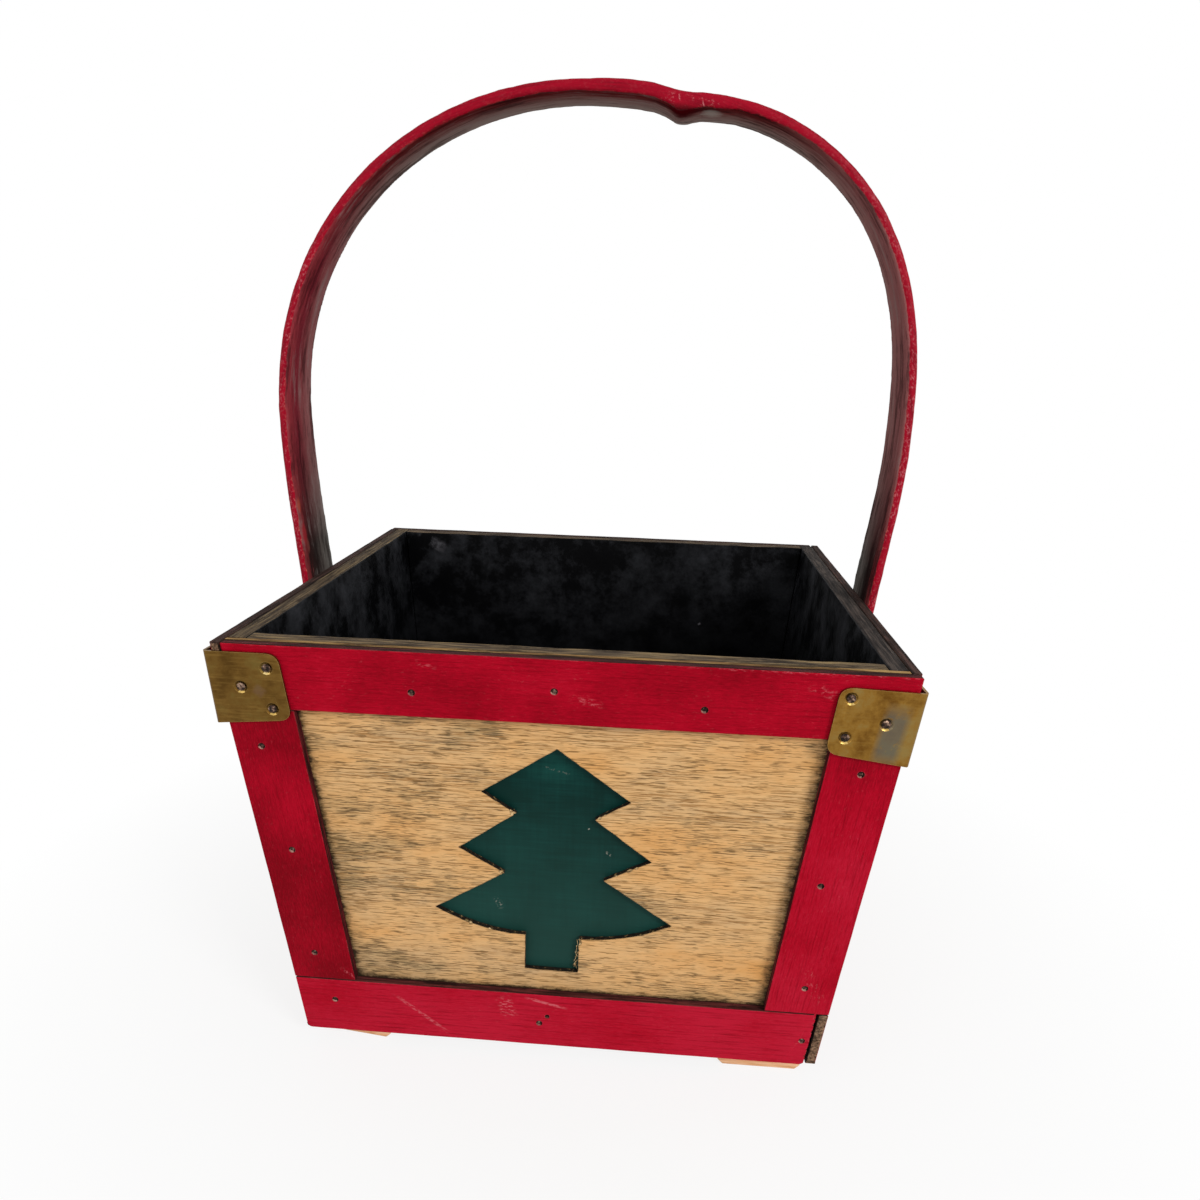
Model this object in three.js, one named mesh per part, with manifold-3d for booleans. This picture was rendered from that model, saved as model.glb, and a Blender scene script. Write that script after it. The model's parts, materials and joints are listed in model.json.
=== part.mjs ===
// A small wooden planter box with four leaning walls. Each wall is a board framed by painted strips,
// and the front also has a thin face ply with a fir tree sawn out of it. Brass corners hold the rim,
// a bent strip handle stands over the box, and four feet carry it.
// Millimetres, +Z up, front towards -Y, origin on the ground under the middle of the box.
import * as THREE from 'three';
import { mergeVertices } from 'three/addons/utils/BufferGeometryUtils.js';
import Module from 'manifold-3d';

const wasm = await Module();
wasm.setup();

// Box, measured over the frame strips
const topWidth = 216;
const topDepth = 190.5;
const bodyHeight = 152.4;
const leanDegrees = 5.85;

// Timber, with the gap left at every wooden joint
const stripWidth = 22.2;
const stripThickness = 3.2;
const boardThickness = 5.6;
const facePlyThickness = 1.8;
const baseThickness = 5.6;
const woodGap = 0.3;

// Fir tree, drops measured down from its apex and reaches from its middle line
const treeDropBelowMiddle = 0.9;
const treeShift = -1.6;
const treeTiltDegrees = 1.1;
const lowTipDrop = 66.1;
const lowTipReach = 40.8;
const skirtSwell = 4.6;
const trunkTopDrop = 75;
const trunkBottomDrop = 89.9;
const trunkReach = 9.4;
const upperTiers = [
  { tipDrop: 17.8, tipReach: 24.4, notchDrop: 25.4, notchReach: 13 },
  { tipDrop: 40.4, tipReach: 32.3, notchDrop: 49.4, notchReach: 16.8 },
];

// Brass corners, bent from sheet, and the pins that hold them
const brassThickness = 0.8;
const leftLeafLength = 22.6;
const rightLeafLength = 25;
const brassHeight = 25;
const brassDrop = 2.6;
const brassRadius = 4;
const brassBendRadius = 1.3;
const pin = { headRadius: 1.4, headHeight: 0.5, shankRadius: 0.7, length: 8, sink: 0.45 };
const pinGap = 0.2;
const dimpleFlare = 0.6;
// Places of the pins, measured from the frame's corner and down from the rim
const leftLeafPins = [
  { fromCorner: 17, drop: 7.5 },
  { fromCorner: 7.5, drop: 14.3 },
  { fromCorner: 16, drop: 21.6 },
];
const rightLeafPins = [
  { fromCorner: 20.2, drop: 7.4 },
  { fromCorner: 8.2, drop: 15.4 },
  { fromCorner: 19.2, drop: 20.6 },
];

// Handle, a bent strip whose legs lie flat on the side rails
const handleThickness = 3.2;
const handleLegWidth = 25;
const handleCrownWidth = 20;
const handleFrontEdge = 14.5;
const handleEdgeEase = 0.6;
const handleLegEnd = 5;
const handleBulgeRise = 62.5;
const handleCrownRise = 114.6;
const leftShoulder = { bulge: 4.6, fullness: 2.09 };
const rightShoulder = { bulge: 5.8, fullness: 2.55 };
// Knot in the strip, right of the crown, swollen on the inside, where the strip sags a little
const knotPlace = 29.5;
const knotLength = 5;
const knotSwell = 2.8;
const sagLength = 20;
const sagDepth = 1.7;
const nail = { headRadius: 2.2, headHeight: 0.8, shankRadius: 0.9, length: 11.4, sink: 0 };

// Feet, blocks with bevelled sides; the front left one was put on askew
const footWidth = 29.6;
const footDepth = 30;
const footHeight = 6.4;
const footBevel = 1.8;
const footSideInset = 4.4;
const footFrontInset = 3.7;
const askewTurnDegrees = -7;
const askewShift = 2.4;

// Fineness of round shapes
const curveSteps = 6;
const roundSides = 12;
const legSteps = 8;
const crownSteps = 44;
// Share of the rise over which the handle's legs keep the lean before they bend
const legPull = 1 / 3;
// Rounding of a domed head, as shares of its radius and height
const domeShoulder = { across: 0.6, up: 0.85 };
const domeRimUp = 0.35;

const lean = THREE.MathUtils.degToRad(leanDegrees);
const slope = Math.tan(lean);
const stripRise = stripWidth * Math.cos(lean);
const bottomWidth = topWidth - 2 * bodyHeight * slope;
const bottomDepth = topDepth - 2 * bodyHeight * slope;
const stripSeat = stripThickness + woodGap;
const facePlyInner = stripSeat + facePlyThickness;
const brassOuter = -(woodGap + brassThickness);

// Walls in order round the box, each seen from outside: left and right ends, and depth inwards
const walls = [
  { name: 'front', along: bottomWidth / 2, out: bottomDepth / 2, boardOuter: facePlyInner + woodGap },
  { name: 'right', along: bottomDepth / 2, out: bottomWidth / 2, boardOuter: stripSeat },
  { name: 'back', along: bottomWidth / 2, out: bottomDepth / 2, boardOuter: stripSeat },
  { name: 'left', along: bottomDepth / 2, out: bottomWidth / 2, boardOuter: stripSeat },
];
const [frontWall, rightWall, backWall, leftWall] = walls;
walls.forEach((wall, place) => {
  wall.turn = (place * Math.PI) / 2;
  wall.leftNeighbour = walls[(place + 3) % 4];
  wall.rightNeighbour = walls[(place + 1) % 4];
  wall.boardInner = wall.boardOuter + boardThickness;
  wall.endWall = place % 2 === 0;
});

// Height above the body's underside of a point measured down the leaning face from the rim
const heightAtDrop = (drop) => bodyHeight - drop * Math.cos(lean);

// Both ends of a wall lean out with its neighbours, so every end is a line of the same slope
const leftLine = (wall, inset) => (z) => inset - wall.along - z * slope;
const rightLine = (wall, inset) => (z) => wall.along + z * slope - inset;

const band = (low, high, leftAt, rightAt) =>
  new THREE.Shape([
    new THREE.Vector2(leftAt(low), low),
    new THREE.Vector2(rightAt(low), low),
    new THREE.Vector2(rightAt(high), high),
    new THREE.Vector2(leftAt(high), high),
  ]);

// An upright outline given depth and sheared outwards, so its faces lean and its edges stay level
const leanOut = new THREE.Matrix4().makeShear(0, 0, 0, 0, 0, -slope);
const leaningPlate = (wall, outline, outer, inner) =>
  new THREE.ExtrudeGeometry(outline, {
    depth: inner - outer,
    bevelEnabled: false,
    curveSegments: curveSteps,
  })
    .rotateX(Math.PI / 2)
    .translate(0, inner - wall.out, 0)
    .applyMatrix4(leanOut)
    .rotateZ(wall.turn);

const toSolid = (geometry) => {
  const bare = geometry.clone();
  bare.deleteAttribute('normal');
  bare.deleteAttribute('uv');
  const welded = mergeVertices(bare);
  return new wasm.Manifold(
    new wasm.Mesh({
      numProp: 3,
      vertProperties: new Float32Array(welded.getAttribute('position').array),
      triVerts: new Uint32Array(welded.index.array),
    }),
  );
};

const toGeometry = (solid) => {
  const mesh = solid.getMesh();
  const geometry = new THREE.BufferGeometry();
  geometry.setAttribute('position', new THREE.BufferAttribute(mesh.vertProperties, 3));
  geometry.setIndex(new THREE.BufferAttribute(mesh.triVerts, 1));
  geometry.computeVertexNormals();
  return geometry;
};

const finishes = {
  redPaint: { color: '#a8142a', roughness: 0.55, metalness: 0 },
  naturalPly: { color: '#c99a62', roughness: 0.7, metalness: 0 },
  greenPaint: { color: '#1c3f39', roughness: 0.6, metalness: 0 },
  blackPaint: { color: '#17171a', roughness: 0.6, metalness: 0 },
  agedBrass: { color: '#8b6a2a', roughness: 0.45, metalness: 0.9 },
  dullSteel: { color: '#6b6258', roughness: 0.5, metalness: 0.9 },
  rawWood: { color: '#e0a878', roughness: 0.75, metalness: 0 },
};

// The pieces of the body by name, before their nail holes are drilled
const pieces = new Map();
const addPiece = (name, geometry, finish) => pieces.set(name, { geometry, finish });

// Frame strips. The rails overlap at the corners in turn: a top rail runs through at its right end
// and a bottom rail at its left end. The stiles of the front and back run out to the corners.
for (const wall of walls) {
  const highBand = bodyHeight - stripRise;
  const topRail = band(highBand, bodyHeight, leftLine(wall, stripSeat), rightLine(wall, 0));
  const bottomRail = band(0, stripRise, leftLine(wall, 0), rightLine(wall, stripSeat));
  addPiece(`${wall.name}_top_rail`, leaningPlate(wall, topRail, 0, stripThickness), 'redPaint');
  addPiece(`${wall.name}_bottom_rail`, leaningPlate(wall, bottomRail, 0, stripThickness), 'redPaint');

  const inset = wall.endWall ? 0 : stripSeat;
  const innerInset = inset + stripWidth;
  const low = stripRise + woodGap;
  const high = highBand - woodGap;
  const leftStile = band(low, high, leftLine(wall, inset), leftLine(wall, innerInset));
  const rightStile = band(low, high, rightLine(wall, innerInset), rightLine(wall, inset));
  addPiece(`${wall.name}_left_stile`, leaningPlate(wall, leftStile, 0, stripThickness), 'redPaint');
  addPiece(`${wall.name}_right_stile`, leaningPlate(wall, rightStile, 0, stripThickness), 'redPaint');
}

// Boards. The side boards run through, and those of the front and back fit between them.
for (const wall of walls) {
  const endInset = (next) => (wall.endWall ? next.boardInner + woodGap : next.boardOuter);
  const leftAt = leftLine(wall, endInset(wall.leftNeighbour));
  const rightAt = rightLine(wall, endInset(wall.rightNeighbour));
  const outline = band(0, bodyHeight, leftAt, rightAt);
  const geometry = leaningPlate(wall, outline, wall.boardOuter, wall.boardInner);
  addPiece(`${wall.name}_board`, geometry, wall === frontWall ? 'greenPaint' : 'blackPaint');
}

// Fir tree outline, symmetrical about its own middle line, then tilted a little as it was sawn
const firTree = () => {
  const middle = bodyHeight / 2 / Math.cos(lean) + treeDropBelowMiddle;
  const tilt = THREE.MathUtils.degToRad(treeTiltDegrees);
  const place = (reach, drop) => {
    const fromMiddle = drop - trunkBottomDrop / 2;
    const across = treeShift + reach * Math.cos(tilt) - fromMiddle * Math.sin(tilt);
    const down = middle + fromMiddle * Math.cos(tilt) + reach * Math.sin(tilt);
    return [across, heightAtDrop(down)];
  };
  const skirtControl = [(lowTipReach + trunkReach) / 2, (lowTipDrop + trunkTopDrop) / 2 + skirtSwell];
  const tree = new THREE.Path();
  tree.moveTo(...place(0, 0));
  for (const tier of upperTiers) {
    tree.lineTo(...place(tier.tipReach, tier.tipDrop));
    tree.lineTo(...place(tier.notchReach, tier.notchDrop));
  }
  tree.lineTo(...place(lowTipReach, lowTipDrop));
  tree.quadraticCurveTo(...place(...skirtControl), ...place(trunkReach, trunkTopDrop));
  tree.lineTo(...place(trunkReach, trunkBottomDrop));
  tree.lineTo(...place(-trunkReach, trunkBottomDrop));
  tree.lineTo(...place(-trunkReach, trunkTopDrop));
  tree.quadraticCurveTo(...place(-skirtControl[0], skirtControl[1]), ...place(-lowTipReach, lowTipDrop));
  for (const tier of upperTiers.toReversed()) {
    tree.lineTo(...place(-tier.notchReach, tier.notchDrop));
    tree.lineTo(...place(-tier.tipReach, tier.tipDrop));
  }
  tree.closePath();
  return tree;
};

const facePly = band(0, bodyHeight, leftLine(frontWall, stripSeat), rightLine(frontWall, stripSeat));
facePly.holes.push(firTree());
addPiece('front_face_ply', leaningPlate(frontWall, facePly, stripSeat, facePlyInner), 'naturalPly');

// Base board, its four edges leaning with the boards around it
const baseBoard = () => {
  const sideReach = bottomWidth / 2 - rightWall.boardInner - woodGap;
  const frontReach = bottomDepth / 2 - frontWall.boardInner - woodGap;
  const backReach = bottomDepth / 2 - backWall.boardInner - woodGap;
  const board = new THREE.BoxGeometry(2 * sideReach, frontReach + backReach, baseThickness);
  const position = board.getAttribute('position');
  for (let i = 0; i < position.count; i += 1) {
    const z = position.getZ(i) + baseThickness / 2;
    const x = position.getX(i) + Math.sign(position.getX(i)) * z * slope;
    const y = position.getY(i) + Math.sign(position.getY(i)) * z * slope;
    position.setXYZ(i, x, y + (backReach - frontReach) / 2, z);
  }
  return board;
};
addPiece('base_board', baseBoard(), 'blackPaint');

// Brass corners. A leaf has a level top, a lower edge square to the bend and two rounded corners.
const brassLeafOutline = (edgeAt, inward, length) => {
  const top = heightAtDrop(brassDrop);
  const bendLow = heightAtDrop(brassDrop + brassHeight);
  const freeLow = bendLow + length * slope;
  const freeAt = (z) => edgeAt(z) + inward * length;
  const leaf = new THREE.Shape();
  leaf.moveTo(edgeAt(bendLow), bendLow);
  leaf.lineTo(freeAt(freeLow) - inward * brassRadius, freeLow - brassRadius * slope);
  leaf.quadraticCurveTo(freeAt(freeLow), freeLow, freeAt(freeLow + brassRadius), freeLow + brassRadius);
  leaf.lineTo(freeAt(top - brassRadius), top - brassRadius);
  leaf.quadraticCurveTo(freeAt(top), top, freeAt(top) - inward * brassRadius, top);
  leaf.lineTo(edgeAt(top), top);
  leaf.closePath();
  return leaf;
};

// What the outside of a bend loses by its rounding, a bar that leans with both walls of its corner
const bendWaste = (wall) => {
  const radius = brassBendRadius;
  const waste = new THREE.Shape();
  waste.moveTo(-radius, -radius);
  waste.lineTo(radius, -radius);
  waste.lineTo(radius, 0);
  waste.absarc(radius, radius, radius, -Math.PI / 2, -Math.PI, true);
  waste.lineTo(-radius, radius);
  waste.closePath();
  const leanBoth = new THREE.Matrix4().makeShear(0, 0, 0, 0, -slope, -slope);
  const length = { depth: bodyHeight, bevelEnabled: false, curveSegments: curveSteps };
  return new THREE.ExtrudeGeometry(waste, length)
    .translate(brassOuter - wall.along, brassOuter - wall.out, 0)
    .applyMatrix4(leanBoth)
    .rotateZ(wall.turn);
};

const brassCorner = (wall) => {
  const leftLeaf = brassLeafOutline(leftLine(wall, brassOuter), 1, leftLeafLength);
  const neighbour = wall.leftNeighbour;
  const rightLeaf = brassLeafOutline(rightLine(neighbour, brassOuter), -1, rightLeafLength);
  const onWall = toSolid(leaningPlate(wall, leftLeaf, brassOuter, -woodGap));
  const onNeighbour = toSolid(leaningPlate(neighbour, rightLeaf, brassOuter, -woodGap));
  return toGeometry(onWall.add(onNeighbour).subtract(toSolid(bendWaste(wall))));
};
const cornerNames = ['front_left', 'front_right', 'back_right', 'back_left'];
walls.forEach((wall, place) => {
  addPiece(`brass_corner_${cornerNames[place]}`, brassCorner(wall), 'agedBrass');
});

// Handle outline: straight legs on the side rails, a bulge above the rim and a full crown
const handleStandOff = (woodGap + handleThickness) / Math.cos(lean);
const legReach = (z) => bottomWidth / 2 + z * slope + handleStandOff;
const handleSide = ({ bulge, fullness }) => {
  const rim = new THREE.Vector2(legReach(bodyHeight), bodyHeight);
  const widest = new THREE.Vector2(rim.x + bulge, rim.y + handleBulgeRise);
  const pull = handleBulgeRise * legPull;
  const lowerCurve = new THREE.CubicBezierCurve(
    rim,
    new THREE.Vector2(rim.x + pull * slope, rim.y + pull),
    new THREE.Vector2(widest.x, widest.y - pull),
    widest,
  );
  const points = [new THREE.Vector2(legReach(handleLegEnd), handleLegEnd), ...lowerCurve.getPoints(legSteps)];
  for (let i = 1; i <= crownSteps; i += 1) {
    const angle = (i / crownSteps) * (Math.PI / 2);
    const across = Math.cos(angle) / widest.x;
    const up = Math.sin(angle) / handleCrownRise;
    const radius = (across ** fullness + up ** fullness) ** (-1 / fullness);
    points.push(new THREE.Vector2(radius * Math.cos(angle), widest.y + radius * Math.sin(angle)));
  }
  return points;
};

const handleOutline = () => {
  const right = handleSide(rightShoulder);
  const left = handleSide(leftShoulder).slice(0, -1).reverse();
  const path = [...right, ...left.map((point) => new THREE.Vector2(-point.x, point.y))];
  const outer = [];
  const inner = [];
  path.forEach((point, i) => {
    const before = path[Math.max(i - 1, 0)];
    const after = path[Math.min(i + 1, path.length - 1)];
    const along = after.clone().sub(before).normalize();
    const inward = new THREE.Vector2(-along.y, along.x);
    const fromKnot = point.x - knotPlace;
    const sag = sagDepth * Math.exp(-((fromKnot / sagLength) ** 2));
    const swell = knotSwell * Math.exp(-((fromKnot / knotLength) ** 2));
    outer.push(point.clone().addScaledVector(inward, sag));
    inner.push(point.clone().addScaledVector(inward, handleThickness + sag + swell));
  });
  return new THREE.Shape([...outer, ...inner.reverse()]);
};

// The strip narrows from the rim to the crown, with its front edge kept in one plane
const handle = () => {
  const strip = new THREE.ExtrudeGeometry(handleOutline(), {
    depth: handleLegWidth - 2 * handleEdgeEase,
    bevelThickness: handleEdgeEase,
    bevelSize: handleEdgeEase,
    bevelOffset: -handleEdgeEase,
    bevelSegments: 1,
  })
    .translate(0, 0, handleEdgeEase - handleLegWidth)
    .rotateX(Math.PI / 2);
  const crownHeight = bodyHeight + handleBulgeRise + handleCrownRise;
  const position = strip.getAttribute('position');
  for (let i = 0; i < position.count; i += 1) {
    const taper = THREE.MathUtils.smoothstep(position.getZ(i), bodyHeight, crownHeight);
    const width = THREE.MathUtils.lerp(handleLegWidth, handleCrownWidth, taper);
    position.setY(i, (position.getY(i) * width) / handleLegWidth - handleFrontEdge);
  }
  return strip;
};
addPiece('handle', handle(), 'redPaint');

const turned = (profile) =>
  new THREE.LatheGeometry(profile.map(([radius, y]) => new THREE.Vector2(radius, y)), roundSides);

// A pin or nail has a domed head on its -Y end, and a pointed shank that runs along +Y
const fastenerShape = ({ headRadius, headHeight, shankRadius, length }) =>
  turned([
    [0, -headHeight],
    [headRadius * domeShoulder.across, -headHeight * domeShoulder.up],
    [headRadius, -headHeight * domeRimUp],
    [headRadius, 0],
    [shankRadius, 0],
    [shankRadius, length - 2 * shankRadius],
    [0, length],
  ]);

// Its hole clears the shank, and a sunk head gets a dimple that opens towards the face
const holeShape = ({ headRadius, shankRadius, length, sink }) => {
  const boreRadius = shankRadius + pinGap;
  const boreEnd = length + pinGap;
  const bore = [
    [boreRadius, boreEnd],
    [0, boreEnd],
  ];
  if (sink === 0) {
    return turned([[0, 0], [boreRadius, 0], ...bore]);
  }
  const floorRadius = headRadius + pinGap;
  const mouth = pinGap - 2 * sink;
  return turned([
    [0, mouth],
    [floorRadius + 2 * dimpleFlare, mouth],
    [floorRadius, pinGap],
    [boreRadius, pinGap],
    ...bore,
  ]);
};

// Where a fastener stands: square to the leaning face of a wall, its head a gap clear of its seat
const fastenerPlace = (wall, along, z, standOff, sink) => {
  const out = standOff * Math.cos(lean) + pinGap - sink;
  const upright = new THREE.Matrix4().makeRotationX(lean);
  upright.setPosition(along, -wall.out - z * slope - out * Math.cos(lean), z - out * Math.sin(lean));
  return new THREE.Matrix4().makeRotationZ(wall.turn).multiply(upright);
};

const fasteners = [];
const addFastener = (name, kind, place, finish) => {
  const hole = holeShape(kind).applyMatrix4(place);
  hole.computeBoundingBox();
  fasteners.push({
    name,
    geometry: fastenerShape(kind),
    place,
    finish,
    hole: toSolid(hole),
    box: hole.boundingBox,
  });
};

walls.forEach((wall, place) => {
  const leaves = [
    { corner: cornerNames[place], pins: leftLeafPins, edgeAt: leftLine(wall, 0), inward: 1 },
    { corner: cornerNames[(place + 1) % 4], pins: rightLeafPins, edgeAt: rightLine(wall, 0), inward: -1 },
  ];
  for (const leaf of leaves) {
    leaf.pins.forEach(({ fromCorner, drop }, i) => {
      const z = heightAtDrop(drop);
      const along = leaf.edgeAt(z) + leaf.inward * fromCorner;
      const at = fastenerPlace(wall, along, z, -brassOuter, pin.sink);
      addFastener(`pin_${leaf.corner}_on_${wall.name}_${i + 1}`, pin, at, 'agedBrass');
    });
  }
});

const handleMiddle = handleLegWidth / 2 - handleFrontEdge;
const nailLevels = [
  { level: 'top', z: bodyHeight - stripRise / 2 },
  { level: 'bottom', z: stripRise / 2 },
];
for (const { level, z } of nailLevels) {
  const onRight = fastenerPlace(rightWall, handleMiddle, z, handleStandOff, nail.sink);
  const onLeft = fastenerPlace(leftWall, -handleMiddle, z, handleStandOff, nail.sink);
  addFastener(`handle_nail_right_${level}`, nail, onRight, 'dullSteel');
  addFastener(`handle_nail_left_${level}`, nail, onLeft, 'dullSteel');
}

// Drills every hole that reaches a piece
const drilled = (geometry) => {
  geometry.computeBoundingBox();
  const holes = fasteners.filter((fastener) => fastener.box.intersectsBox(geometry.boundingBox));
  const solid = toSolid(geometry);
  const cut = holes.reduce((left, fastener) => left.subtract(fastener.hole), solid);
  return toGeometry(cut);
};

const makeMesh = (name, geometry, finish) => {
  const mesh = new THREE.Mesh(geometry, new THREE.MeshStandardMaterial(finishes[finish]));
  mesh.name = name;
  return mesh;
};

const body = new THREE.Group();
body.position.z = footHeight + woodGap;
for (const [name, piece] of pieces) {
  body.add(makeMesh(name, drilled(piece.geometry), piece.finish));
}
for (const fastener of fasteners) {
  const mesh = makeMesh(fastener.name, fastener.geometry, fastener.finish);
  mesh.applyMatrix4(fastener.place);
  body.add(mesh);
}

// Feet under the corners of the body
const footOutline = () => {
  const half = footWidth / 2;
  return new THREE.Shape([
    new THREE.Vector2(-half + footBevel, 0),
    new THREE.Vector2(half - footBevel, 0),
    new THREE.Vector2(half, footBevel),
    new THREE.Vector2(half, footHeight),
    new THREE.Vector2(-half, footHeight),
    new THREE.Vector2(-half, footBevel),
  ]);
};
const footGeometry = new THREE.ExtrudeGeometry(footOutline(), { depth: footDepth, bevelEnabled: false })
  .rotateX(Math.PI / 2)
  .translate(0, footDepth / 2, 0);
const footX = bottomWidth / 2 - footSideInset - footWidth / 2;
const footY = bottomDepth / 2 - footFrontInset - footDepth / 2;
const askewTurn = THREE.MathUtils.degToRad(askewTurnDegrees);
const feet = [
  { name: 'foot_front_left', x: -footX - askewShift, y: -footY, turn: askewTurn },
  { name: 'foot_front_right', x: footX, y: -footY, turn: 0 },
  { name: 'foot_back_right', x: footX, y: footY, turn: 0 },
  { name: 'foot_back_left', x: -footX, y: footY, turn: 0 },
];

const planter = new THREE.Group();
planter.add(body);
for (const foot of feet) {
  const mesh = makeMesh(foot.name, footGeometry, 'rawWood');
  mesh.position.set(foot.x, foot.y, 0);
  mesh.rotation.z = foot.turn;
  planter.add(mesh);
}

export default planter;
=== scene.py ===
import json
import math
import random

import bmesh
import bpy
from mathutils import Matrix, Vector

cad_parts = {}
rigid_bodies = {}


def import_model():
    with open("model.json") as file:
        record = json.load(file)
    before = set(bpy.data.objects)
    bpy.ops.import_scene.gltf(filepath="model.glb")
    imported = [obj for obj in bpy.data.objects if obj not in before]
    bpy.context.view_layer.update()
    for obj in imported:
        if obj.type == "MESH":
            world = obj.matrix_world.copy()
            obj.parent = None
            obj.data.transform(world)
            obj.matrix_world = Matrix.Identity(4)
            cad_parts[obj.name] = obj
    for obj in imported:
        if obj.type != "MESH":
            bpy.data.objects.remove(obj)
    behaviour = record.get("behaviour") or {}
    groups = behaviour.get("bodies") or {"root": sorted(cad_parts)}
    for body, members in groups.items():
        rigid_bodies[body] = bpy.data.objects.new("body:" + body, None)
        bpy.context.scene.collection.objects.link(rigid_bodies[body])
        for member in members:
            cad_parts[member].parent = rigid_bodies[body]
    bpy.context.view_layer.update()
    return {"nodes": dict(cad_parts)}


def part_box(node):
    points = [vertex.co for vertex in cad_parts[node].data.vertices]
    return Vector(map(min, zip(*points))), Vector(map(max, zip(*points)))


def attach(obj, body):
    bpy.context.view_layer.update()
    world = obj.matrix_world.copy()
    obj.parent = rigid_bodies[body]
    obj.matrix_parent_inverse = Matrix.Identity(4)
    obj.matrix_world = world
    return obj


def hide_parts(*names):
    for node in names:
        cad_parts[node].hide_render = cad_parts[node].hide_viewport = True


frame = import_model()
nodes = frame["nodes"]
print("frame loaded with", len(nodes), "nodes")

mm = 0.001  # the scene is in metres, and every setting below is in millimetres
box = {
    "lean": math.radians(5.85),  # the four walls lean out
    "low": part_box("front_bottom_rail")[0].z / mm,
    "rim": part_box("front_top_rail")[1].z / mm,
    "halfWidth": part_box("right_top_rail")[1].x / mm,
    "halfDepth": -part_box("front_top_rail")[0].y / mm,
    "stripWidth": 22.2,
}
box["slope"] = math.tan(box["lean"])
walls = {  # turn about the upright, and how far the outer face stands out at the rim
    "front": {"turn": 0, "out": box["halfDepth"], "along": box["halfWidth"]},
    "right": {"turn": 90, "out": box["halfWidth"], "along": box["halfDepth"]},
    "back": {"turn": 180, "out": box["halfDepth"], "along": box["halfWidth"]},
    "left": {"turn": 270, "out": box["halfWidth"], "along": box["halfDepth"]},
}
corners = ("front_left", "front_right", "back_right", "back_left")


def heightAtDrop(drop):  # drops are measured down the leaning face from the rim
    return box["rim"] - drop * math.cos(box["lean"])


def wallDirections(wall):  # outward, level and stile directions of one wall
    turn = Matrix.Rotation(math.radians(walls[wall]["turn"]), 3, "Z")
    slope = box["slope"]
    return {
        "out": turn @ Vector((0, -1, -slope)).normalized(),
        "rail": turn @ Vector((1, 0, 0)),
        "left_stile": turn @ Vector((-slope, -slope, 1)).normalized(),
        "right_stile": turn @ Vector((slope, -slope, 1)).normalized(),
    }


def wallPoint(wall, across, drop, depth=0):  # a place on a wall, seen from outside
    turn = Matrix.Rotation(math.radians(walls[wall]["turn"]), 3, "Z")
    height = heightAtDrop(drop)
    stand = walls[wall]["out"] - (box["rim"] - height) * box["slope"]
    return (turn @ Vector((across, -stand, height)) - wallDirections(wall)["out"] * depth) * mm


def linearColour(hexCode):
    channels = [int(hexCode[i : i + 2], 16) / 255 for i in (1, 3, 5)]
    return [c / 12.92 if c <= 0.04045 else ((c + 0.055) / 1.055) ** 2.4 for c in channels] + [1]


# Adds one node: inputs by name or number, each a plain value, a colour, a node or a socket
def addNode(tree, kind, inputs=None, stops=None, **settings):
    node = tree.nodes.new(kind)
    for name, value in settings.items():
        setattr(node, name, value)
    for place, (position, colour) in enumerate(stops or []):
        ramp = node.color_ramp.elements
        stop = ramp[place] if place < 2 else ramp.new(position)
        stop.position = position
        stop.color = linearColour(colour)
    for name, value in (inputs or {}).items():
        if isinstance(value, bpy.types.Node):
            value = value.outputs[0]
        if isinstance(value, bpy.types.NodeSocket):
            tree.links.new(value, node.inputs[name])
        else:
            node.inputs[name].default_value = linearColour(value) if isinstance(value, str) else value
    return node


def newMaterial(name, **sockets):  # constant values go straight on the shader's sockets
    material = bpy.data.materials.new(name)
    material.use_nodes = True
    shader = material.node_tree.nodes["Principled BSDF"]
    for socket, value in sockets.items():
        shader.inputs[socket.replace("_", " ")].default_value = value
    return material, material.node_tree, shader


# Links the colour, a bump with its depth in millimetres, and a roughness where it varies
def finishShader(tree, shader, colour, height, strength, depth, roughness=None):
    tree.links.new(colour.outputs[0], shader.inputs["Base Color"])
    bump = addNode(tree, "ShaderNodeBump", {"Height": height, "Strength": strength, "Distance": depth * mm})
    tree.links.new(bump.outputs[0], shader.inputs["Normal"])
    if roughness:
        tree.links.new(roughness.outputs[0], shader.inputs["Roughness"])


# One where an edge of the piece turns within reach: a rounded normal is set against the true one
def addEdgeMask(tree, reach):
    rounded = addNode(tree, "ShaderNodeBevel", {"Radius": reach * mm}, samples=4)
    true = addNode(tree, "ShaderNodeNewGeometry").outputs["True Normal"]
    same = addNode(tree, "ShaderNodeVectorMath", {0: rounded, 1: true}, operation="DOT_PRODUCT")
    return addNode(tree, "ShaderNodeMapRange", {
        "Value": same.outputs["Value"], "From Min": 0.97, "From Max": 0.75,
    })


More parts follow.
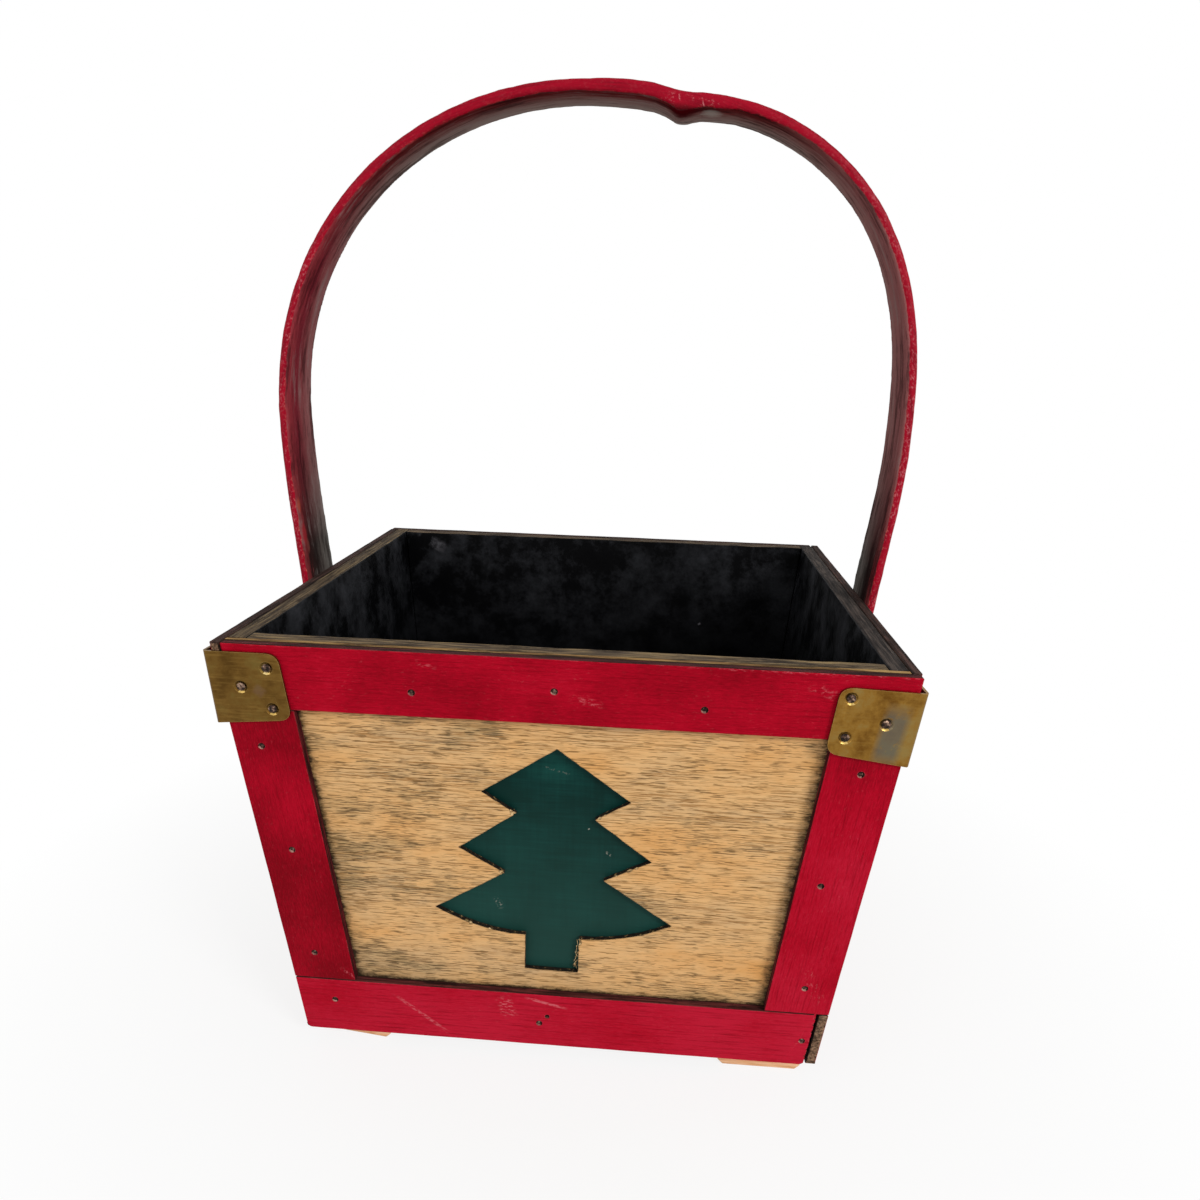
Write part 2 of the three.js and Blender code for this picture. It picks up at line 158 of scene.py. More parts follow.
# A broken line on an upright face, from one place to another, each given across and up in millimetres;
# grit is the noise that breaks it up
def addScratch(tree, mask, grit, scratch):
    start = Vector(scratch["from"])
    end = Vector(scratch["to"])
    middle = (start + end) / 2
    along = (end - start).normalized()
    square = Vector((-along.y, along.x))
    breakFade = 0.14
    here = addNode(tree, "ShaderNodeTexCoord").outputs["Object"]
    near = []
    for direction, span in ((along, (end - start).length / 2), (square, scratch["width"])):
        row = addNode(tree, "ShaderNodeVectorMath", {
            0: here, 1: (direction.x / mm, 0, direction.y / mm),
        }, operation="DOT_PRODUCT").outputs["Value"]
        off = addNode(tree, "ShaderNodeMath", {0: row, 1: direction.dot(middle)}, operation="SUBTRACT")
        away = addNode(tree, "ShaderNodeMath", {0: off}, operation="ABSOLUTE")
        near.append(addNode(tree, "ShaderNodeMapRange", {
            "Value": away, "From Min": span, "From Max": span * 0.5,
        }))
    line = addNode(tree, "ShaderNodeMath", {0: near[0], 1: near[1]}, operation="MULTIPLY")
    broken = addNode(tree, "ShaderNodeMapRange", {
        "Value": grit, "From Min": scratch["breaks"], "From Max": scratch["breaks"] + breakFade,
        "To Max": scratch["strength"],
    })
    line = addNode(tree, "ShaderNodeMath", {0: line, 1: broken}, operation="MULTIPLY")
    return addNode(tree, "ShaderNodeMath", {0: mask, 1: line}, operation="MAXIMUM")


def scratchOnFront(start, end, width, breaks, strength):  # ends given across and down the front face
    return {
        "from": (start[0], heightAtDrop(start[1])), "to": (end[0], heightAtDrop(end[1])),
        "width": width, "breaks": breaks, "strength": strength,
    }


print("materials")

paintLook = {
    # fresh is the palest red: reached by random bright blotches, and on the front's paler strip ends as a
    # painted sheen
    "body": "#a90420", "deep": "#780010", "fresh": "#b81731", "pale": "#c85f68", "bare": "#4d1a1c",
    # sizes along, across and through the grain; fibres and flecks are drawn coarser than real, to show
    "streak": (17, 0.8, 1), "fibre": (2.6, 0.45, 1), "blotch": 34, "fleck": 0.95, "rub": 12,
    "wearReach": 0.6,
}
frontScratches = [  # start, end, width, share of noise at which it breaks up, and strength
    scratchOnFront((-59.6, 135), (-38.8, 152.6), 0.9, 0.45, 0.75),
    scratchOnFront((-12, 132.6), (4, 136.6), 0.7, 0.38, 0.9),
    scratchOnFront((-19.5, 132.5), (-16.5, 143), 3.4, 0.5, 0.95),
    scratchOnFront((-78, 125), (-71, 130), 0.9, 0.48, 0.55),
    scratchOnFront((84, 108), (92, 128), 2.6, 0.55, 0.6),
    scratchOnFront((3, 12.4), (14, 14.8), 1.6, 0.5, 0.6),
    scratchOnFront((74, 4.4), (85, 8), 2.0, 0.53, 0.6),
    scratchOnFront((-44, 3.4), (-37, 5), 0.9, 0.5, 0.55),
    scratchOnFront((30, 0.4), (120, 0.4), 0.5, 0.52, 0.5),
]


# Milk paint brushed on thin strips: streaks along the grain, pale flecks that are partly rubbed paint and
# partly painted glints, edges worn to the wood
def crimsonPaint(name, scratches=()):
    look = paintLook
    material, tree, shader = newMaterial(name, Specular_IOR_Level=0.04)
    place = addNode(tree, "ShaderNodeAttribute", attribute_name="grain").outputs["Vector"]
    tone = addNode(tree, "ShaderNodeAttribute", attribute_name="tone").outputs["Fac"]
    streaks = addNode(tree, "ShaderNodeTexNoise", {
        "Vector": addNode(tree, "ShaderNodeMapping", {
            "Vector": place, "Scale": [1 / size for size in look["streak"]],
        }),
        "Scale": 1, "Detail": 4, "Roughness": 0.65,
    })
    blotches = addNode(tree, "ShaderNodeTexNoise", {
        "Vector": place, "Scale": 1 / look["blotch"], "Detail": 4,
    })
    # the tone attribute brings in each strip's painted light and shade on the front, random tone elsewhere
    shade = addNode(tree, "ShaderNodeMath", {0: blotches, 1: tone}, operation="ADD")
    fibres = addNode(tree, "ShaderNodeTexNoise", {
        "Vector": addNode(tree, "ShaderNodeMapping", {
            "Vector": place, "Scale": [1 / size for size in look["fibre"]],
        }),
        "Scale": 1, "Detail": 3, "Roughness": 0.7,
    })
    ripple = addNode(tree, "ShaderNodeMath", {0: fibres, 1: 0.7, 2: -0.35}, operation="MULTIPLY_ADD")
    shade = addNode(tree, "ShaderNodeMath", {0: shade, 1: ripple}, operation="ADD")
    body = addNode(tree, "ShaderNodeValToRGB", {"Fac": shade}, [
        (0.14, look["deep"]), (0.5, look["body"]), (0.8, look["fresh"]),
    ])
    darkStreaks = addNode(tree, "ShaderNodeMapRange", {
        "Value": streaks, "From Min": 0.5, "From Max": 0.28, "To Max": 0.7,
    })
    body = addNode(tree, "ShaderNodeMixRGB", {"Fac": darkStreaks, "Color1": body, "Color2": look["deep"]})
    flecks = addNode(tree, "ShaderNodeTexNoise", {
        "Vector": addNode(tree, "ShaderNodeMapping", {
            "Vector": place, "Scale": (0.45 / look["fleck"], 1 / look["fleck"], 1),
        }),
        "Scale": 1, "Detail": 3, "Roughness": 0.7,
    })
    rubbed = addNode(tree, "ShaderNodeTexNoise", {"Vector": place, "Scale": 1 / look["rub"], "Detail": 2})
    # pale flecks: partly rubbed paint, partly painted glints in place of sparkle on the fine grain
    fleckMask = addNode(tree, "ShaderNodeMath", {
        0: addNode(tree, "ShaderNodeMapRange", {
            "Value": flecks, "From Min": 0.6, "From Max": 0.75, "To Max": 0.26,
        }),
        1: addNode(tree, "ShaderNodeMapRange", {
            "Value": rubbed, "From Min": 0.46, "From Max": 0.68, "To Min": 0.28,
        }),
    }, operation="MULTIPLY")
    for scratch in scratches:
        fleckMask = addScratch(tree, fleckMask, flecks, scratch)
    body = addNode(tree, "ShaderNodeMixRGB", {"Fac": fleckMask, "Color1": body, "Color2": look["pale"]})
    worn = addNode(tree, "ShaderNodeMath", {
        0: addEdgeMask(tree, look["wearReach"]),
        1: addNode(tree, "ShaderNodeMapRange", {
            "Value": rubbed, "From Min": 0.4, "From Max": 0.6, "To Min": 0.4,
        }),
    }, operation="MULTIPLY")
    rubColour = addNode(tree, "ShaderNodeValToRGB", {"Fac": flecks}, [
        (0.36, look["bare"]), (0.46, look["body"]), (0.56, look["pale"]),
    ])
    body = addNode(tree, "ShaderNodeMixRGB", {"Fac": worn, "Color1": body, "Color2": rubColour})
    gloss = addNode(tree, "ShaderNodeMapRange", {
        "Value": streaks, "From Min": 0.3, "From Max": 0.7, "To Min": 0.6, "To Max": 0.42,
    })
    finishShader(tree, shader, body, streaks, strength=0.4, depth=0.2, roughness=gloss)
    return material


handleLook = {
    # the pale pink of the pits is a painted glint, where light would catch the wrinkled paint
    "red": "#9a0420", "deep": "#780218", "pitGlint": "#cf7a80", "chip": "#c65a3a", "line": "#1c0f10",
    "scuff": "#8f8480", "rightSide": "#a07672", "knotShade": "#4c040c", "frontEdge": -14.5, "width": 25,
    # sizes along, across and through the strip; the pits are drawn coarser than real, to show
    "streak": (28, 1.6, 1.2), "ragged": (9, 2.5, 2.5), "patch": (24, 7, 7), "fibre": (36, 5, 40),
    "pitSize": 0.75, "pitStretch": (0.6, 0.9, 0.9),
    # where a change begins and ends: along the strip from its crown, behind its front edge, above the rim
    # of the box, and to the right
    "glintArc": (70, 130), "crownArc": (120, 70), "chipArc": (150, 230), "glintBehind": (5, 1),
    "legRise": (58, 12), "rightX": (55, 100),
    # colours of the inner face from its front edge to its back one; the grey towards the back is worn wood
    # lightened by a painted reflection
    "crown": [(0.08, "#5c1d1e"), (0.2, "#682f2f"), (0.38, "#805d59"), (0.9, "#9c918b")],
    "shoulder": [(0.05, "#8a3138"), (0.3, "#74252f"), (0.5, "#803f42"), (0.8, "#8a5a5a")],
    "leg": [(0.05, "#6d2c2e"), (0.14, "#331f1e"), (0.36, "#2c2422"), (0.6, "#4f4844"), (0.95, "#6c6964")],
    # the knot and dome spots are painted shade: dark maroon under the knot's bulge, on the inner face and
    # over the front edge
    "knot": {"place": (29.5, -11, 324), "size": (7, 9, 5.5), "colour": "#3f080e", "strength": 1},
    "domeShade": {"place": (28.5, -14, 325.5), "size": (7.5, 5, 3.6), "strength": 0.85},
    "flakes": [  # paint that still clings at the foot of the left leg
        {"place": (-109.5, -12.8, 177), "size": (4, 1.8, 4.5), "colour": "#962a30", "strength": 0.8},
        {"place": (-109, -11.4, 172), "size": (4, 1.2, 3), "colour": "#7d3c38", "strength": 0.7},
        {"place": (-111.6, -13.6, 188), "size": (4, 1, 3), "colour": "#a04636", "strength": 0.7},
    ],
    # the pale grey spot right of the knot is a painted highlight on the inner face
    "bare": {"place": (39.5, -7, 326), "size": (3.6, 5, 4), "colour": "#aaa199", "strength": 0.6},
    "cracks": [
        {"from": (28.1, 332), "to": (28.6, 329.6), "width": 0.3, "breaks": 0.42, "strength": 0.9},
        {"from": (35.6, 331), "to": (36.8, 327.6), "width": 0.3, "breaks": 0.46, "strength": 0.8},
        {"from": (18, 332), "to": (46, 327), "width": 2.6, "breaks": 0.6, "strength": 0.7},
    ],
}


# One inside a rounded spot given in millimetres, with a ragged rim
def addSpot(tree, here, ragged, spot):
    offset = addNode(tree, "ShaderNodeMapping", {
        "Vector": here, "Scale": [1 / (size * mm) for size in spot["size"]],
        "Location": [-place / size for place, size in zip(spot["place"], spot["size"])],
    })
    away = addNode(tree, "ShaderNodeVectorMath", {0: offset}, operation="LENGTH").outputs["Value"]
    rim = addNode(tree, "ShaderNodeMath", {0: ragged, 1: 0.8, 2: away}, operation="MULTIPLY_ADD")
    return addNode(tree, "ShaderNodeMapRange", {
        "Value": rim, "From Min": 1.6, "From Max": 1.0, "To Max": spot["strength"],
    })


# The bent strip: red paint on its edges and outside, pitted on the shoulders, the pits lit with painted
# glints; inside it wears to grey wood, lightened by a painted reflection
def handlePaint(name, sheen):
    look = handleLook
    material, tree, shader = newMaterial(name, Specular_IOR_Level=sheen)
    place = addNode(tree, "ShaderNodeAttribute", attribute_name="grain").outputs["Vector"]
    inside = addNode(tree, "ShaderNodeAttribute", attribute_name="inside").outputs["Fac"]
    here = addNode(tree, "ShaderNodeTexCoord").outputs["Object"]
    heights = addNode(tree, "ShaderNodeSeparateXYZ", {0: here})
    along = addNode(tree, "ShaderNodeSeparateXYZ", {0: place})
    arc = addNode(tree, "ShaderNodeMath", {0: along}, operation="ABSOLUTE")
    streaks = addNode(tree, "ShaderNodeTexNoise", {
        "Vector": addNode(tree, "ShaderNodeMapping", {
            "Vector": place, "Scale": [1 / size for size in look["streak"]],
        }),
        "Scale": 1, "Detail": 4, "Roughness": 0.65,
    })
    pits = addNode(tree, "ShaderNodeTexNoise", {
        "Vector": addNode(tree, "ShaderNodeMapping", {"Vector": place, "Scale": look["pitStretch"]}),
        "Scale": 1 / look["pitSize"], "Detail": 3, "Roughness": 0.7,
    })
    ragged = addNode(tree, "ShaderNodeTexNoise", {
        "Vector": addNode(tree, "ShaderNodeMapping", {
            "Vector": place, "Scale": [1 / size for size in look["ragged"]],
        }),
        "Scale": 1, "Detail": 5, "Roughness": 0.7,
    })
    red = addNode(tree, "ShaderNodeValToRGB", {"Fac": streaks}, [(0.32, look["deep"]), (0.55, look["red"])])
    patches = addNode(tree, "ShaderNodeTexNoise", {
        "Vector": addNode(tree, "ShaderNodeMapping", {
            "Vector": place, "Scale": [1 / size for size in look["patch"]],
        }),
        "Scale": 1, "Detail": 3,
    })
    # painted glints on the pitted paint crowd in patches on the front edge of the shoulders and thin out
    # over the broad outer face; pale cracks join them
    glintAndCrackMask = addNode(tree, "ShaderNodeMapRange", {"Value": pits, "From Min": 0.52, "From Max": 0.68})
    for share in (
        {"Value": arc, "From Min": look["glintArc"][0], "From Max": look["glintArc"][1],
         "To Min": 0.08, "To Max": 0.55},
        {"Value": patches, "From Min": 0.4, "From Max": 0.56, "To Min": 0.3},
        {"Value": heights.outputs["Y"], "From Min": (look["frontEdge"] + look["glintBehind"][0]) * mm,
         "From Max": (look["frontEdge"] + look["glintBehind"][1]) * mm, "To Min": 0.15},
    ):
        glintAndCrackMask = addNode(tree, "ShaderNodeMath", {
            0: glintAndCrackMask, 1: addNode(tree, "ShaderNodeMapRange", share),
        }, operation="MULTIPLY")
    for crack in look["cracks"]:
        glintAndCrackMask = addScratch(tree, glintAndCrackMask, pits, crack)
    red = addNode(tree, "ShaderNodeMixRGB", {"Fac": glintAndCrackMask, "Color1": red, "Color2": look["pitGlint"]})
    across = addNode(tree, "ShaderNodeMapRange", {
        "Value": heights.outputs["Y"], "From Min": look["frontEdge"] * mm,
        "From Max": (look["frontEdge"] + look["width"]) * mm,
    })
    wander = addNode(tree, "ShaderNodeMath", {0: streaks, 1: 0.4, 2: -0.2}, operation="MULTIPLY_ADD")
    across = addNode(tree, "ShaderNodeMath", {0: across, 1: wander}, operation="ADD")
    crownShare = addNode(tree, "ShaderNodeMapRange", {
        "Value": arc, "From Min": look["crownArc"][0], "From Max": look["crownArc"][1],
    })
    legShare = addNode(tree, "ShaderNodeMapRange", {
        "Value": heights.outputs["Z"], "From Min": (box["rim"] + look["legRise"][0]) * mm,
        "From Max": (box["rim"] + look["legRise"][1]) * mm,
    })
    bands = addNode(tree, "ShaderNodeMixRGB", {
        "Fac": crownShare, "Color1": addNode(tree, "ShaderNodeValToRGB", {"Fac": across}, look["shoulder"]),
        "Color2": addNode(tree, "ShaderNodeValToRGB", {"Fac": across}, look["crown"]),
    })
    # the inner face is paler towards the right shoulder
    paler = addNode(tree, "ShaderNodeMapRange", {
        "Value": heights.outputs["X"], "From Min": look["rightX"][0] * mm,
        "From Max": look["rightX"][1] * mm, "To Max": 0.5,
    })
    bands = addNode(tree, "ShaderNodeMixRGB", {"Fac": paler, "Color1": bands, "Color2": look["rightSide"]})
    bands = addNode(tree, "ShaderNodeMixRGB", {
        "Fac": legShare, "Color1": bands,
        "Color2": addNode(tree, "ShaderNodeValToRGB", {"Fac": across}, look["leg"]),
    })
    fibres = addNode(tree, "ShaderNodeTexNoise", {
        "Vector": addNode(tree, "ShaderNodeMapping", {
            "Vector": place, "Scale": [1 / size for size in look["fibre"]],
        }),
        "Scale": 1, "Detail": 5, "Roughness": 0.75,
    })
    lines = addNode(tree, "ShaderNodeMapRange", {
        "Value": fibres, "From Min": 0.5, "From Max": 0.4, "To Max": 0.62,
    })
    bands = addNode(tree, "ShaderNodeMixRGB", {"Fac": lines, "Color1": bands, "Color2": look["line"]})
    scuffs = addNode(tree, "ShaderNodeMapRange", {
        "Value": fibres, "From Min": 0.55, "From Max": 0.65, "To Max": 0.36,
    })
    bands = addNode(tree, "ShaderNodeMixRGB", {"Fac": scuffs, "Color1": bands, "Color2": look["scuff"]})
    for spot in (look["knot"], look["bare"], *look["flakes"]):
        bands = addNode(tree, "ShaderNodeMixRGB", {
            "Fac": addSpot(tree, here, ragged, spot), "Color1": bands, "Color2": spot["colour"],
        })
    edge = addNode(tree, "ShaderNodeMath", {0: ragged, 1: 0.5, 2: inside}, operation="MULTIPLY_ADD")
    within = addNode(tree, "ShaderNodeMapRange", {"Value": edge, "From Min": 0.98, "From Max": 1.08})
    colour = addNode(tree, "ShaderNodeMixRGB", {"Fac": within, "Color1": red, "Color2": bands})
    border = addNode(tree, "ShaderNodeMath", {
        0: addNode(tree, "ShaderNodeMapRange", {"Value": edge, "From Min": 0.84, "From Max": 0.94}),
        1: addNode(tree, "ShaderNodeMapRange", {"Value": edge, "From Min": 1.1, "From Max": 1.02}),
    }, operation="MULTIPLY")
    chipZone = addNode(tree, "ShaderNodeMapRange", {
        "Value": arc, "From Min": look["chipArc"][0], "From Max": look["chipArc"][1],
        "To Min": 0.1, "To Max": 0.35,
    })
    chips = addNode(tree, "ShaderNodeMapRange", {"Value": pits, "From Min": 0.52, "From Max": 0.62})
    chipMask = addNode(tree, "ShaderNodeMath", {0: border, 1: chips}, operation="MULTIPLY")
    chipMask = addNode(tree, "ShaderNodeMath", {0: chipMask, 1: chipZone}, operation="MULTIPLY")
    colour = addNode(tree, "ShaderNodeMixRGB", {"Fac": chipMask, "Color1": colour, "Color2": look["chip"]})
    # dark maroon under the knot's bulge, over the red front edge: painted shade
    domeShade = addSpot(tree, here, ragged, look["domeShade"])
    colour = addNode(tree, "ShaderNodeMixRGB", {"Fac": domeShade, "Color1": colour, "Color2": look["knotShade"]})
    gloss = addNode(tree, "ShaderNodeMapRange", {
        "Value": pits, "From Min": 0.3, "From Max": 0.7, "To Min": 0.38, "To Max": 0.55,
    })
    finishShader(tree, shader, colour, pits, strength=0.5, depth=0.3, roughness=gloss)
    return material


edgeLook = {"lineLength": 20, "dirt": (12, 3, 3)}  # along, across and through the grain


# Bare upper edges and ends: open lines along the grain, clouded by dirt, in three tones; some pieces are
# given tones darkened as painted shade, or lightened as a painted highlight
def weatheredEdge(name, dark, body, pale, lineWidth=0.8):
    look = edgeLook
    material, tree, shader = newMaterial(name, Roughness=0.8, Specular_IOR_Level=0.08)
    place = addNode(tree, "ShaderNodeAttribute", attribute_name="grain").outputs["Vector"]
    lines = addNode(tree, "ShaderNodeTexNoise", {
        "Vector": addNode(tree, "ShaderNodeMapping", {
            "Vector": place, "Scale": (1 / look["lineLength"], 1 / lineWidth, 1 / lineWidth),
        }),
        "Scale": 1, "Detail": 5, "Roughness": 0.65,
    })
    colour = addNode(tree, "ShaderNodeValToRGB", {"Fac": lines}, [(0.36, dark), (0.5, body), (0.63, pale)])
    patches = addNode(tree, "ShaderNodeTexNoise", {
        "Vector": addNode(tree, "ShaderNodeMapping", {
            "Vector": place, "Scale": [1 / size for size in look["dirt"]],
        }),
        "Scale": 1, "Detail": 5, "Roughness": 0.7,
    })
    soiled = addNode(tree, "ShaderNodeMapRange", {
        "Value": patches, "From Min": 0.52, "From Max": 0.64, "To Max": 0.85,
    })
    colour = addNode(tree, "ShaderNodeMixRGB", {"Fac": soiled, "Color1": colour, "Color2": dark})
    finishShader(tree, shader, colour, lines, strength=0.7, depth=0.35)
    return material


plyLook = {
    "wood": "#dcaf77", "warm": "#d69d5c", "cool": "#c8a578", "grain": "#9a6d39", "fleck": "#372714",
    "paleFleck": "#7a582a", "stain": "#7b6b47", "grimeAndShade": "#150e08",
    # sizes along, across and through the grain; the pores are drawn coarser than real, to show
    "groundCloud": (42, 20, 1), "grainLine": (11, 0.33, 1), "stainCloud": (30, 15, 1),
    "pore": (4.6, 0.3, 1), "soilAndShadeEdge": (4.5, 2.4, 1),
    "rubbedFrom": 84, "rubbedTo": 112,  # down the face
    "dirtyFrom": 70, "dirtyTo": -70,  # across the face
    "lipReach": 0.7,
}


# Birch-faced ply left bare: honey ground, short dark pores along the grain, grey stain and soiled edges
def birchPly(name, framed):
    look = plyLook
    material, tree, shader = newMaterial(name, Roughness=0.62, Specular_IOR_Level=0.2)
    place = addNode(tree, "ShaderNodeAttribute", attribute_name="grain").outputs["Vector"]
    ground = addNode(tree, "ShaderNodeTexNoise", {
        "Vector": addNode(tree, "ShaderNodeMapping", {
            "Vector": place, "Scale": [1 / size for size in look["groundCloud"]],
        }),
        "Scale": 1, "Detail": 5, "Roughness": 0.6,
    })
    colour = addNode(tree, "ShaderNodeValToRGB", {"Fac": ground}, [
        (0.32, look["cool"]), (0.5, look["wood"]), (0.7, look["warm"]),
    ])
    grain = addNode(tree, "ShaderNodeTexNoise", {
        "Vector": addNode(tree, "ShaderNodeMapping", {
            "Vector": place, "Scale": [1 / size for size in look["grainLine"]],
        }),
        "Scale": 1, "Detail": 3, "Roughness": 0.6,
    })
    here = addNode(tree, "ShaderNodeSeparateXYZ", {0: addNode(tree, "ShaderNodeTexCoord").outputs["Object"]})
    grainMask = addNode(tree, "ShaderNodeMapRange", {
        "Value": grain, "From Min": 0.5, "From Max": 0.39, "To Max": 0.9,
    })
    for share in (  # calm here and there, and paler low down, where it was rubbed
        {"Value": ground, "From Min": 0.6, "From Max": 0.44, "To Min": 0.3},
        {"Value": here.outputs["Z"], "From Min": heightAtDrop(look["rubbedTo"]) * mm,
         "From Max": heightAtDrop(look["rubbedFrom"]) * mm, "To Min": 0.5},
    ):
        grainMask = addNode(tree, "ShaderNodeMath", {
            0: grainMask, 1: addNode(tree, "ShaderNodeMapRange", share),
        }, operation="MULTIPLY")
    colour = addNode(tree, "ShaderNodeMixRGB", {"Fac": grainMask, "Color1": colour, "Color2": look["grain"]})
    stains = addNode(tree, "ShaderNodeTexNoise", {
        "Vector": addNode(tree, "ShaderNodeMapping", {
            "Vector": place, "Scale": [1 / size for size in look["stainCloud"]],
        }),
        "Scale": 1, "Detail": 6, "Roughness": 0.66,
    })
    stained = stains
    if framed:  # the front is dirtier towards its left
        leftness = addNode(tree, "ShaderNodeMapRange", {
            "Value": here.outputs["X"], "From Min": look["dirtyFrom"] * mm, "From Max": look["dirtyTo"] * mm,
            "To Min": -0.05, "To Max": 0.04,
        })
        stained = addNode(tree, "ShaderNodeMath", {0: stains, 1: leftness}, operation="ADD")
    stainMask = addNode(tree, "ShaderNodeMapRange", {
        "Value": stained, "From Min": 0.52, "From Max": 0.68, "To Max": 0.5,
    })
    colour = addNode(tree, "ShaderNodeMixRGB", {"Fac": stainMask, "Color1": colour, "Color2": look["stain"]})
    flecks = addNode(tree, "ShaderNodeTexNoise", {
        "Vector": addNode(tree, "ShaderNodeMapping", {
            "Vector": place, "Scale": [1 / size for size in look["pore"]],
        }),
        "Scale": 1, "Detail": 1, "Roughness": 0.5,
    })
    crowd = addNode(tree, "ShaderNodeMath", {0: stained, 1: 0.34, 2: flecks}, operation="MULTIPLY_ADD")
    fleckMask = addNode(tree, "ShaderNodeMapRange", {
        "Value": crowd, "From Min": 0.72, "From Max": 0.78, "To Max": 0.74,
    })
    fleckColour = addNode(tree, "ShaderNodeValToRGB", {"Fac": stained}, [
        (0.42, look["paleFleck"]), (0.6, look["fleck"]),
    ])
    colour = addNode(tree, "ShaderNodeMixRGB", {"Fac": fleckMask, "Color1": colour, "Color2": fleckColour})
    if framed:
        ragged = addNode(tree, "ShaderNodeTexNoise", {
            "Vector": addNode(tree, "ShaderNodeMapping", {
                "Vector": place, "Scale": [1 / size for size in look["soilAndShadeEdge"]],
            }),
            "Scale": 1, "Detail": 6, "Roughness": 0.72,
        })
        soilAndShade = addFrameSoilAndShade(tree, here, ragged)
        # and along the ply's own cut edges, round the tree and under the strips: dirt and painted shade
        lip = addNode(tree, "ShaderNodeMath", {
            0: addEdgeMask(tree, look["lipReach"]), 1: 0.8,
        }, operation="MULTIPLY")
        soilAndShade = addNode(tree, "ShaderNodeMath", {0: soilAndShade, 1: lip}, operation="MAXIMUM")
        colour = addNode(tree, "ShaderNodeMixRGB", {"Fac": soilAndShade, "Color1": colour, "Color2": look["grimeAndShade"]})
    height = addNode(tree, "ShaderNodeMath", {0: grain, 1: fleckMask}, operation="SUBTRACT")
    finishShader(tree, shader, colour, height, strength=0.35, depth=0.15)
    return material


soilAndShadowReach = {"left": 2.8, "right": 4.2, "top": 1.3, "bottom": 2.0}  # from each side of the panel; the wider band on the right is the right stile's painted shadow


# Dirt and painted shade on the front panel along the four strips that frame it, with the right stile's
# painted shadow
def addFrameSoilAndShade(tree, here, ragged):
    halfLow = box["halfWidth"] - (box["rim"] - box["low"]) * box["slope"] - box["stripWidth"]
    widening = addNode(tree, "ShaderNodeMath", {
        0: here.outputs["Z"], 1: box["slope"], 2: (halfLow - box["low"] * box["slope"]) * mm,
    }, operation="MULTIPLY_ADD")
    stripRise = box["stripWidth"] * math.cos(box["lean"])
    topEdge = (box["rim"] - stripRise) * mm
    lowEdge = (box["low"] + stripRise) * mm
    gaps = {
        "left": addNode(tree, "ShaderNodeMath", {0: widening, 1: here.outputs["X"]}, operation="ADD"),
        "right": addNode(tree, "ShaderNodeMath", {0: widening, 1: here.outputs["X"]}, operation="SUBTRACT"),
        "top": addNode(tree, "ShaderNodeMath", {0: topEdge, 1: here.outputs["Z"]}, operation="SUBTRACT"),
        "bottom": addNode(tree, "ShaderNodeMath", {0: here.outputs["Z"], 1: lowEdge}, operation="SUBTRACT"),
    }
    soilAndShade = 0
    for side, gap in gaps.items():
        reach = soilAndShadowReach[side] * mm
        wobble = addNode(tree, "ShaderNodeMath", {
            0: ragged, 1: -3 * reach, 2: gap,
        }, operation="MULTIPLY_ADD")
        # dirt here is dirt and painted shade beside each strip
        dirt = addNode(tree, "ShaderNodeMapRange", {
            "Value": wobble, "From Min": -0.85 * reach, "From Max": -1.7 * reach, "To Max": 0.92,
        })
        soilAndShade = addNode(tree, "ShaderNodeMath", {0: soilAndShade, 1: dirt}, operation="MAXIMUM")
    return soilAndShade


# Sawn edge of the tree: scorched dark by the saw and darkened further as painted shade of the recess, with
# pale torn fibres here and there
def scorchedShadedCut():
    material, tree, shader = newMaterial("scorched_and_shaded_saw_cut", Roughness=0.75, Specular_IOR_Level=0.2)
    here = addNode(tree, "ShaderNodeTexCoord").outputs["Object"]
    fibreSize = 1.6
    fibres = addNode(tree, "ShaderNodeTexNoise", {
        "Vector": here, "Scale": 1 / (fibreSize * mm), "Detail": 4, "Roughness": 0.7,
    })
    colour = addNode(tree, "ShaderNodeValToRGB", {"Fac": fibres}, [
        (0.4, "#0d0a08"), (0.58, "#2a1f14"), (0.68, "#a98a5a"),
    ])
    finishShader(tree, shader, colour, fibres, strength=0.8, depth=0.4)
    return material


# Wood torn open at the chips: pale and fibrous
def tornWood():
    material, tree, shader = newMaterial("torn_birch", Roughness=0.85, Specular_IOR_Level=0.2)
    here = addNode(tree, "ShaderNodeTexCoord").outputs["Object"]
    fibreSize = (3, 1, 0.5)
    fibres = addNode(tree, "ShaderNodeTexNoise", {
        "Vector": addNode(tree, "ShaderNodeMapping", {
            "Vector": here, "Scale": [1 / (size * mm) for size in fibreSize],
        }),
        "Scale": 1, "Detail": 3,
    })
    colour = addNode(tree, "ShaderNodeValToRGB", {"Fac": fibres}, [
        (0.35, "#6d5335"), (0.5, "#c6a473"), (0.68, "#e6cfa4"),
    ])
    finishShader(tree, shader, colour, fibres, strength=0.8, depth=0.3)
    return material


treeLook = {
    "body": "#06302c", "deep": "#022420", "fresh": "#0f3f39", "paleSheen": "#21443d", "speck": "#8f8f84",
    "brush": (16, 1.1, 1), "crossBrush": (1.2, 20, 1), "cloud": 26, "speckSize": 0.8,
    "sheenFrom": 40, "sheenTo": 122,  # down the face, over which the green pales towards the bottom: a painted sheen
}
treeMarks = [
    scratchOnFront((-22.2, 93.2), (-20, 98.6), 1.5, 0.54, 0.7),
    scratchOnFront((9.5, 63.0), (9.9, 63.4), 0.4, 0.2, 0.9),
    scratchOnFront((15.4, 71.8), (17.4, 73.4), 0.6, 0.45, 0.8),
    scratchOnFront((-6, 40), (4, 43), 0.5, 0.5, 0.35),
]


